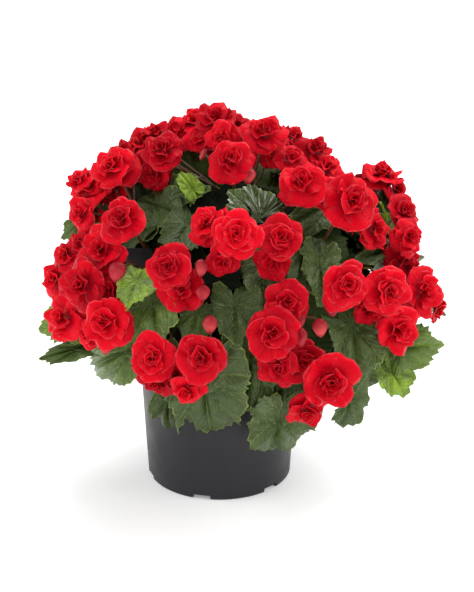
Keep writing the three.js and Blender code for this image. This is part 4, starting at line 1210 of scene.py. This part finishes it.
class BegoniaLeafSettings(bpy.types.PropertyGroup):
    leaf_thickness: length_of("Leaf thickness", 0.7, "Thickness of a leaf at its middle")
    tooth_depth: share_of("Tooth depth", 0.068, "Depth of the teeth in shares of the leaf's reach")
    quilting: share_of("Quilting", 0.17, "Height of the quilting between veins in leaf lengths")
    ruffle: share_of("Ruffle", 0.085, "How far the edge waves in leaf lengths")
    # Leaves painted nearly black as painted shade, down in the plant.
    inner_leaves: bpy.props.IntProperty(
        name="Inner leaves", description="Old leaves on each stem, down in the plant", default=9, min=0
    )
    face_colour: colour_of("Leaf", "586f2a", "Face of a full-grown leaf")
    # Painted shade: the near-black face of leaves deep in the plant.
    shade_colour: colour_of("Old leaf", "080d06", "Face of an old leaf")
    # Painted grey sheen in patches on a leaf's face.
    grey_sheen_colour: colour_of("Dusty leaf", "5a6c44", "Greyer parts of a leaf's waxy face")
    young_colour: colour_of("Young leaf", "8cac2e", "Face of a young leaf")
    vein_colour: colour_of("Vein", "7a9048", "Veins of a leaf")
    # Painted reflection streaks on a glossy leaf.
    reflection_streak_colour: colour_of("Silver streaks", "ccd6cc", "Streaks on the face of a glossy leaf")
    edge_colour: colour_of("Leaf edge", "a2b650", "Teeth of a leaf")
    under_colour: colour_of("Leaf underside", "5e7040", "Underside of a leaf")
    stalk_colour: colour_of("Leaf stalk", "7c8a3c", "Stems and leaf stalks")
    flush_colour: colour_of("Stalk flush", "8c4a38", "Red flush on stems and stalks")


class BegoniaPotSettings(bpy.types.PropertyGroup):
    colour: colour_of("Pot", "1f1d21", "Wall of the pot")
    flow_colour: colour_of("Flow marks", "262428", "Flow marks of the moulding")
    dust_colour: colour_of("Dust", "353332", "Dust on the wall")
    soil_colour: colour_of("Soil", "1c140f", "Damp potting mix")
    crumb_colour: colour_of("Crumbs", "4a3626", "Drier crumbs of the potting mix")
    label_colour: colour_of("Label", "151316", "Plain plant label")
    rubbed_colour: colour_of("Rubbed label", "2c2a2d", "Where the label is rubbed")


class BegoniaStageSettings(bpy.types.PropertyGroup):
    floor_colour: colour_of("Floor", "f6f6f6", "White background paper")
    tooth_colour: colour_of("Floor tooth", "e8e8e8", "Low spots of the paper")
    glow: share_of("Glow", 0.2, "Light that comes up through the table")
    sky: share_of("Sky", 0.45, "Strength of the even white light from all round")
    key: share_of("Key", 3.2, "Strength of the wide light overhead")
    front: share_of("Front", 0.58, "Strength of the light by the camera")
    side: share_of("Sides", 1.42, "Strength of the light from either side")


class BegoniaSettings(bpy.types.PropertyGroup):
    blooms: bpy.props.PointerProperty(type=BegoniaBloomSettings, name="Blooms", description="Blooms and buds")
    leaves: bpy.props.PointerProperty(type=BegoniaLeafSettings, name="Leaves", description="Leaves and stems")
    pot: bpy.props.PointerProperty(type=BegoniaPotSettings, name="Pot", description="Pot, soil and label")
    stage: bpy.props.PointerProperty(type=BegoniaStageSettings, name="Stage", description="Floor and lights")


# Pieces

class BEGONIA_OT_flower_sprays(bpy.types.Operator):
    """Grow every spray of blooms and buds on its stalks"""

    bl_idname = "begonia.flower_sprays"
    bl_label = "Grow flower sprays"

    def execute(self, context):
        settings = context.scene.begonia.blooms
        materials = [begonia_petal(settings), begonia_bud(settings), flower_stalk(settings)]
        knots = [0] * len(STEM_LINES)
        for name, degrees in with_twins(SPRAYS, [(BACK_SPRAYS, [180])]):
            own_name = full_name(name, degrees)
            solid_name = f"spray_{own_name}"
            tree = tree_of(solid_name)
            items = placed_items(name, degrees, tree)
            rng = random.Random(own_name)
            mean = sum((head.place for head, _, _ in items), Vector()) / len(items)
            number = stem_for(mean)
            below_tip = STEM["first_knot"] + STEM["knot_spacing"] * knots[number]
            start = stem_point_at(number, STEM_LINES[number][2].z - below_tip)
            knots[number] += 1
            pile = Pile()
            main = stalk_path(start, items[0][0], STALK["peduncle"], 0, tree)
            for i, (head, size, is_bud) in enumerate(items):
                path = main
                if i:
                    fork = fork_for(head, main, FORK["first"] + FORK["spacing"] * (i - 1))
                    path = stalk_path(fork, head, STALK["pedicel"], 0, tree)
                foot = STALK["pedicel"] if i else STALK["peduncle"]
                path = [*path, head.spot(0, 0, -0.1 * size)]
                add_stalk(pile, path, foot, STALK["tip"], rng.random(), FLOWER_STALK)
                add = add_bud if is_bud else add_bloom
                add(pile, head, size, settings, rng)
            stand_in(pile.piece(f"{own_name}_blooms", materials), "bloom", solid_name)
        return {"FINISHED"}


class BEGONIA_OT_leafy_stems(bpy.types.Operator):
    """Grow the stems with their leaf stalks and leaves"""

    bl_idname = "begonia.leafy_stems"
    bl_label = "Grow leafy stems"

    def execute(self, context):
        settings = context.scene.begonia.leaves
        waxy = begonia_leaf(settings, "begonia_leaf", 0.36)
        # The dull material holds the leaves painted nearly black as painted shade.
        dull = begonia_leaf(settings, "shaded_begonia_leaf", 0.05)
        materials = [waxy, dull, fleshy_stalk(settings)]
        listed = with_twins(LEAVES, [(BACK_LEAVES, [180]), (SIDE_LEAVES, [90, -90])])
        for number, line in enumerate(STEM_LINES):
            solid_name = f"leafy_stem_{number + 1}"
            tree = tree_of(solid_name)
            pile = Pile()
            points = smooth_line(line, STEM["steps"])
            joints = [1 + STEM["joint"] * max(0, math.cos(i * 1.9)) ** 6 for i in range(len(points))]
            radii = np.linspace(STEM["half"], STEM["thinning"] * STEM["half"], len(points)) * joints
            pile.add(tube(points, radii, STEM["sides"], 0.5), LEAF_STALK)
            for name, degrees in listed:
                if stem_for(turned_place(seen_at(*LEAVES[name][0]), degrees)) != number:
                    continue
                rng = random.Random(f"{name}{degrees}")
                choices = []
                for shift in LEAF_SHIFTS:
                    for right, below in LEAF_STEPS:
                        leaf = seen_leaf(name, degrees, shift, right, below)
                        choices.append((misfit(leaf.marks(), tree), len(choices), leaf))
                leaf = min(choices)[2]
                start = joint_for(number, leaf.head, above_soil=56, drop=18)
                sag = 0.1 * (start - leaf.head.place).length
                path = stalk_path(start, leaf.head, STALK["petiole"], sag, tree)
                foot, tip = STALK["petiole"] * 1.2, STALK["petiole"] * 0.8
                add_stalk(pile, path, foot, tip, rng.random(), LEAF_STALK)
                around = LEAF_POINTS["wide" if leaf.width > WIDE_LEAF else "narrow"]
                add_leaf(pile, leaf, settings, rng, around)
            closing = [name for name in GAP_LEAVES if stem_for(seen_at(*GAP_LEAVES[name][0])) == number]
            for leaf in [*map(seen_leaf, closing), *inner_leaves(number, settings.inner_leaves)]:
                rng = random.Random(leaf.width)
                start = joint_for(number, leaf.head, above_soil=12, drop=26)
                path = [start, leaf.head.spot(0, 0, -STALK["neck"]), leaf.head.spot(0, 0, -1)]
                add_stalk(pile, path, *INNER["stalk"], rng.random(), LEAF_STALK)
                add_leaf(pile, leaf, settings, rng, LEAF_POINTS["inner"])
            stand_in(pile.piece(f"stem_{number + 1}_leaves", materials), "foliage", solid_name)
        return {"FINISHED"}


def joint_for(number, head, above_soil, drop):
    """Where a leaf's stalk leaves its stem: below the leaf, but above the soil and below the stem's tip."""
    height = max(SOIL["top"] + above_soil, head.place.z - drop)
    return stem_point_at(number, min(STEM_LINES[number][2].z - STEM["bare_tip"], height))


def inner_leaves(number, count):
    """Leaves down in the plant, painted nearly black as painted shade, which stand close under the others and
    keep its heart dark.
    """
    rng = random.Random(f"inner{number}")
    found = []
    at_heart = number == STEM["count"]
    for i in range(count * 2 if at_heart else count):
        rise = math.radians(rng.uniform(*INNER["heart_rise" if at_heart else "rise"]))
        bearing = (number + rng.uniform(-0.5, 0.5)) * 2 * math.pi / STEM["count"]
        if at_heart:
            bearing = i * SPIRAL_STEP
        level = Vector((math.sin(bearing), -math.cos(bearing), 0))
        out = level * math.cos(rise) + UP * math.sin(rise)
        heart = DOME["centre"] + out * (DOME["radius"] - rng.uniform(*INNER["depth"]))
        hang = (level * 0.5 - UP + level.cross(UP) * rng.uniform(-0.8, 0.8)).normalized()
        along = (hang - out * hang.dot(out) * rng.uniform(0.6, 1)).normalized()
        tip = heart + along * rng.uniform(*INNER["length"])
        width, freshness_and_shade = rng.uniform(*INNER["width"]), rng.uniform(*INNER["freshness_and_shade"])
        found.append(Leaf(heart, tip, out, width, freshness_and_shade, gloss=0))
    return found


def wall_radius(height):
    """The pot wall's outer radius at a height."""
    base, rim = POT["base"] / 2, POT["rim"] / 2 - POT["lip_proud"]
    return base + (rim - base) * height / POT["height"]


def turned_mesh(name, profile, sides):
    """A closed turned mesh from a profile of [radius, height] that starts and ends on the axis."""
    count = len(profile) - 2
    angles = np.arange(sides) * 2 * math.pi / sides
    rings = [[(r * math.cos(a), r * math.sin(a), z) for a in angles] for r, z in profile[1:-1]]
    points = np.array(rings).reshape(-1, 3)
    points = np.concatenate([points, [[0, 0, profile[0][1]], [0, 0, profile[-1][1]]]]) * MM
    faces = [face for group in ring_faces(count, sides) for face in group.tolist()]
    mesh = bpy.data.meshes.new(name)
    mesh.from_pydata(points.tolist(), [], faces)
    mesh.update()
    return mesh


def arc(across, up, radius, angles):
    """Points of a round corner about its centre."""
    return [(across + radius * math.cos(a), up + radius * math.sin(a)) for a in angles]


def add_slab(shape, outline, near, far, placed):
    """Adds an outline of (across, up), drawn out from near to far, and gives its two flat faces."""
    front = [shape.verts.new(placed(Vector((x, near, z))) * MM) for x, z in outline]
    back = [shape.verts.new(placed(Vector((x, far, z))) * MM) for x, z in outline]
    faces = [shape.faces.new(front), shape.faces.new(back[::-1])]
    for k in range(len(outline)):
        after = (k + 1) % len(outline)
        shape.faces.new([front[after], front[k], back[k], back[after]])
    return faces


def mesh_from(shape, name):
    """A mesh with what was made in bmesh."""
    mesh = bpy.data.meshes.new(name)
    shape.to_mesh(mesh)
    shape.free()
    return mesh


def dress(mesh, crease, material):
    """Shades a mesh smoothly but for edges sharper than some degrees, and gives it its only material."""
    mesh.shade_smooth()
    mesh.set_sharp_from_angle(angle=math.radians(crease))
    mesh.materials.clear()
    mesh.materials.append(material)


class BEGONIA_OT_pot(bpy.types.Operator):
    """Mould the nursery pot, with its lip and its drainage notches"""

    bl_idname = "begonia.pot"
    bl_label = "Mould pot"

    def execute(self, context):
        height, wall, floor = POT["height"], POT["wall"], POT["floor"]
        rim, lip = POT["rim"] / 2, POT["lip_height"]
        base = POT["base"] / 2
        outside = [(wall_radius(z), z) for z in np.linspace(4, height - lip - 2.5, 14)]
        inside = [(wall_radius(z) - wall, z) for z in np.linspace(height - 2, floor + 5, 14)]
        profile = [
            (0, 0), (base - 3, 0), (base - 1, 0.3), (wall_radius(1.6), 1.6), *outside,
            (wall_radius(height - lip - 1), height - lip - 1.2), (rim - 0.7, height - lip),
            (rim - 0.1, height - lip + 0.8), (rim, height - lip + 2), (rim, height - 1.2),
            (rim - 0.5, height - 0.2), (rim - 1.2, height), (wall_radius(height) - wall + 0.6, height - 0.1),
            (wall_radius(height) - wall, height - 0.8), *inside,
            (base - wall - 1.4, floor + 1.6), (base - wall - 4, floor), (0, floor),
        ]
        pot = linked("nursery_pot", turned_mesh("nursery_pot", profile, 200))
        cutter = notch_cutter()
        modifier = pot.modifiers.new("notches", "BOOLEAN")
        modifier.operation = "DIFFERENCE"
        modifier.solver = "EXACT"
        modifier.object = cutter
        cut = bpy.data.meshes.new_from_object(pot.evaluated_get(context.evaluated_depsgraph_get()))
        pot.modifiers.clear()
        pot.data = cut
        bpy.data.objects.remove(cutter)
        dress(cut, 28, moulded_polypropylene(context.scene.begonia.pot))
        stand_in(pot, "pot", "pot")
        return {"FINISHED"}


def notch_cutter():
    """The blocks that cut the notches through the foot, each with round upper corners."""
    half, top, corner = NOTCH["width"] / 2, NOTCH["height"], NOTCH["corner"]
    side, up = half - corner, top - corner
    bends = (0.5, 1.1)
    arch = [(-half, -2), (half, -2), (half, up), *arc(side, up, corner, bends), (side, top)]
    arch += [(-side, top), *arc(-side, up, corner, [math.pi / 2 + bend for bend in bends]), (-half, up)]
    wall = -POT["base"] / 2
    shape = bmesh.new()
    for i in range(NOTCH["count"]):
        turn = Matrix.Rotation(NOTCH["first"] + i * 2 * math.pi / NOTCH["count"], 4, "Z")
        add_slab(shape, arch, wall - NOTCH["depth"], wall + NOTCH["depth"], lambda point: turn @ point)
    return linked("notch_cutter", mesh_from(shape, "notch_cutter"))


class BEGONIA_OT_soil(bpy.types.Operator):
    """Fill the pot with crumbly potting mix"""

    bl_idname = "begonia.soil"
    bl_label = "Fill with soil"

    def execute(self, context):
        top, foot = SOIL["top"], POT["floor"] + SOIL["gap"]
        gap = POT["wall"] + SOIL["gap"] + 0.4
        edge = wall_radius(top) - gap
        radii = [edge * share for share in np.linspace(1, 0, 60)[:-1]]
        profile = [(0, foot), (POT["base"] / 2 - 7, foot), (wall_radius(foot + 4) - gap, foot + 4)]
        profile += [(edge, top - 4), *[(r, top) for r in radii], (0, top)]
        mesh = turned_mesh("potting_mix", profile, 150)
        for vertex in mesh.vertices:
            x, y, z = vertex.co / MM
            if z > top - 1:
                coarse = 2.2 * noise.noise(Vector((x, y, 0)) * 0.16)
                fine = 1.3 * noise.noise(Vector((x, y, 9)) * 0.5)
                vertex.co.z += (lump_at(x, y) + (coarse + fine)) * MM
        shape = bmesh.new()
        shape.from_mesh(mesh)
        rng = random.Random("crumbs")
        for _ in range(SOIL["crumbs"]):
            reach, angle = edge * math.sqrt(rng.random()) * 0.95, rng.uniform(0, 2 * math.pi)
            x, y = reach * math.cos(angle), reach * math.sin(angle)
            z = top + lump_at(x, y) + rng.uniform(-0.4, 0.8)
            turn = Quaternion((rng.random(), rng.random(), rng.random())).to_matrix().to_4x4()
            size = Matrix.Diagonal((rng.uniform(1, 2.6), rng.uniform(0.8, 1.8), rng.uniform(0.6, 1.4), 1))
            crumb = Matrix.Translation(Vector((x, y, z)) * MM) @ turn @ size
            bmesh.ops.create_icosphere(shape, subdivisions=1, radius=MM, matrix=crumb)
        shape.to_mesh(mesh)
        shape.free()
        dress(mesh, 50, damp_peat(context.scene.begonia.pot))
        stand_in(linked("potting_mix", mesh), "soil", "soil")
        return {"FINISHED"}


def lump_at(x, y):
    """How far the soil's lumps rise over its level at a place."""
    return SOIL["lump"] * math.sin(0.13 * x + 1) * math.cos(0.11 * y)


class BEGONIA_OT_plant_label(bpy.types.Operator):
    """Stick the plain plant label in the soil"""

    bl_idname = "begonia.plant_label"
    bl_label = "Stick in label"

    def execute(self, context):
        foot, head = Vector(LABEL["foot"]), Vector(LABEL["head"])
        lean = UP.rotation_difference((head - foot).normalized())
        middle = foot.lerp(head, 0.5)
        turn = Quaternion(UP, -math.radians(LABEL["turn"]))
        half, point, corner = LABEL["width"] / 2, LABEL["point"] / 2, LABEL["corner"]
        top = (head - foot).length / 2
        quarter = [k * math.pi / 12 for k in range(7)]
        outline = [(-point, -top), (point, -top), (half, -top + LABEL["taper"])]
        outline += arc(half - corner, top - corner, corner, quarter)
        outline += arc(corner - half, top - corner, corner, [math.pi / 2 + angle for angle in quarter])
        outline.append((-half, -top + LABEL["taper"]))
        side = LABEL["thickness"] / 2
        shape = bmesh.new()
        faces = add_slab(shape, outline, -side, side, lambda place: middle + lean @ (turn @ place))
        rim = [edge for face in faces for edge in face.edges]
        bmesh.ops.bevel(shape, geom=rim, offset=LABEL["soft_edge"] * MM, segments=2, affect="EDGES")
        mesh = mesh_from(shape, "blank_label")
        dress(mesh, 35, black_polystyrene(context.scene.begonia.pot))
        stand_in(linked("blank_label", mesh), "label", "plant_label")
        return {"FINISHED"}


class BEGONIA_OT_stage(bpy.types.Operator):
    """Set up the camera, the white floor and the soft studio light"""

    bl_idname = "begonia.stage"
    bl_label = "Set up stage"

    def execute(self, context):
        scene = context.scene
        settings = scene.begonia.stage
        data = bpy.data.cameras.new("photo_camera")
        data.sensor_width = SENSOR
        data.lens = SENSOR * SIGHT["focus"] / PICTURE["height"]
        data.clip_start, data.clip_end = 0.05, 30
        camera = linked("photo_camera", data)
        camera.location = SIGHT["eye"] * MM
        camera.rotation_euler = (math.pi / 2 - SIGHT["pitch"], 0, 0)
        scene.camera = camera
        mesh = bpy.data.meshes.new("studio_floor")
        corners = [(-1, -1), (1, -1), (1, 1), (-1, 1)]
        mesh.from_pydata([(x * FLOOR_HALF, y * FLOOR_HALF, 0) for x, y in corners], [], [(0, 1, 2, 3)])
        mesh.materials.append(studio_paper(settings))
        floor = linked("studio_floor", mesh)
        world = bpy.data.worlds.new("studio_light")
        world.use_nodes = True
        world.node_tree.nodes.clear()
        white = node(world.node_tree, "Background", (1, 1, 1), settings.sky)
        node(world.node_tree, "OutputWorld", white)
        scene.world = world
        target = DOME["centre"] * MM
        for name, place, spread, strength in (
            ("overhead_bank", (0.5, 0.78, 1.9), 50, settings.key),
            ("front_softbox", (-0.2, -1.7, 1.0), 40, settings.front),
            ("left_softbox", (-1.5, -0.3, 1.3), 40, settings.side),
            ("right_softbox", (1.5, -0.3, 1.3), 40, settings.side),
        ):
            light = bpy.data.lights.new(name, "SUN")
            light.angle = math.radians(spread)
            light.energy = strength
            lamp = linked(name, light)
            lamp.location = place
            lamp.rotation_euler = (target - Vector(place)).to_track_quat("-Z", "Y").to_euler()
        scene.view_settings.view_transform = "Standard"
        scene.view_settings.look = "None"
        return {"FINISHED"}


OPERATORS = (
    BEGONIA_OT_stage,
    BEGONIA_OT_pot,
    BEGONIA_OT_soil,
    BEGONIA_OT_plant_label,
    BEGONIA_OT_leafy_stems,
    BEGONIA_OT_flower_sprays,
)


class BEGONIA_PT_sidebar(bpy.types.Panel):
    """The plant's pieces and settings"""

    bl_label = "Potted begonia"
    bl_idname = "BEGONIA_PT_sidebar"
    bl_space_type = "VIEW_3D"
    bl_region_type = "UI"
    bl_category = "Begonia"

    def draw(self, context):
        settings = context.scene.begonia
        for operator in OPERATORS:
            self.layout.operator(operator.bl_idname)
        for group in (settings.blooms, settings.leaves, settings.pot, settings.stage):
            box = self.layout.box()
            for name in group.__annotations__:
                box.prop(group, name)


CLASSES = (
    BegoniaBloomSettings,
    BegoniaLeafSettings,
    BegoniaPotSettings,
    BegoniaStageSettings,
    BegoniaSettings,
    *OPERATORS,
    BEGONIA_PT_sidebar,
)


def register():
    for each in CLASSES:
        bpy.utils.register_class(each)
    bpy.types.Scene.begonia = bpy.props.PointerProperty(type=BegoniaSettings)


def unregister():
    del bpy.types.Scene.begonia
    for each in reversed(CLASSES):
        bpy.utils.unregister_class(each)


def main():
    register()
    bpy.ops.begonia.stage()
    bpy.ops.begonia.pot()
    bpy.ops.begonia.soil()
    bpy.ops.begonia.plant_label()
    bpy.ops.begonia.leafy_stems()
    bpy.ops.begonia.flower_sprays()
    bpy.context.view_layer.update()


if __name__ == "__main__":
    main()
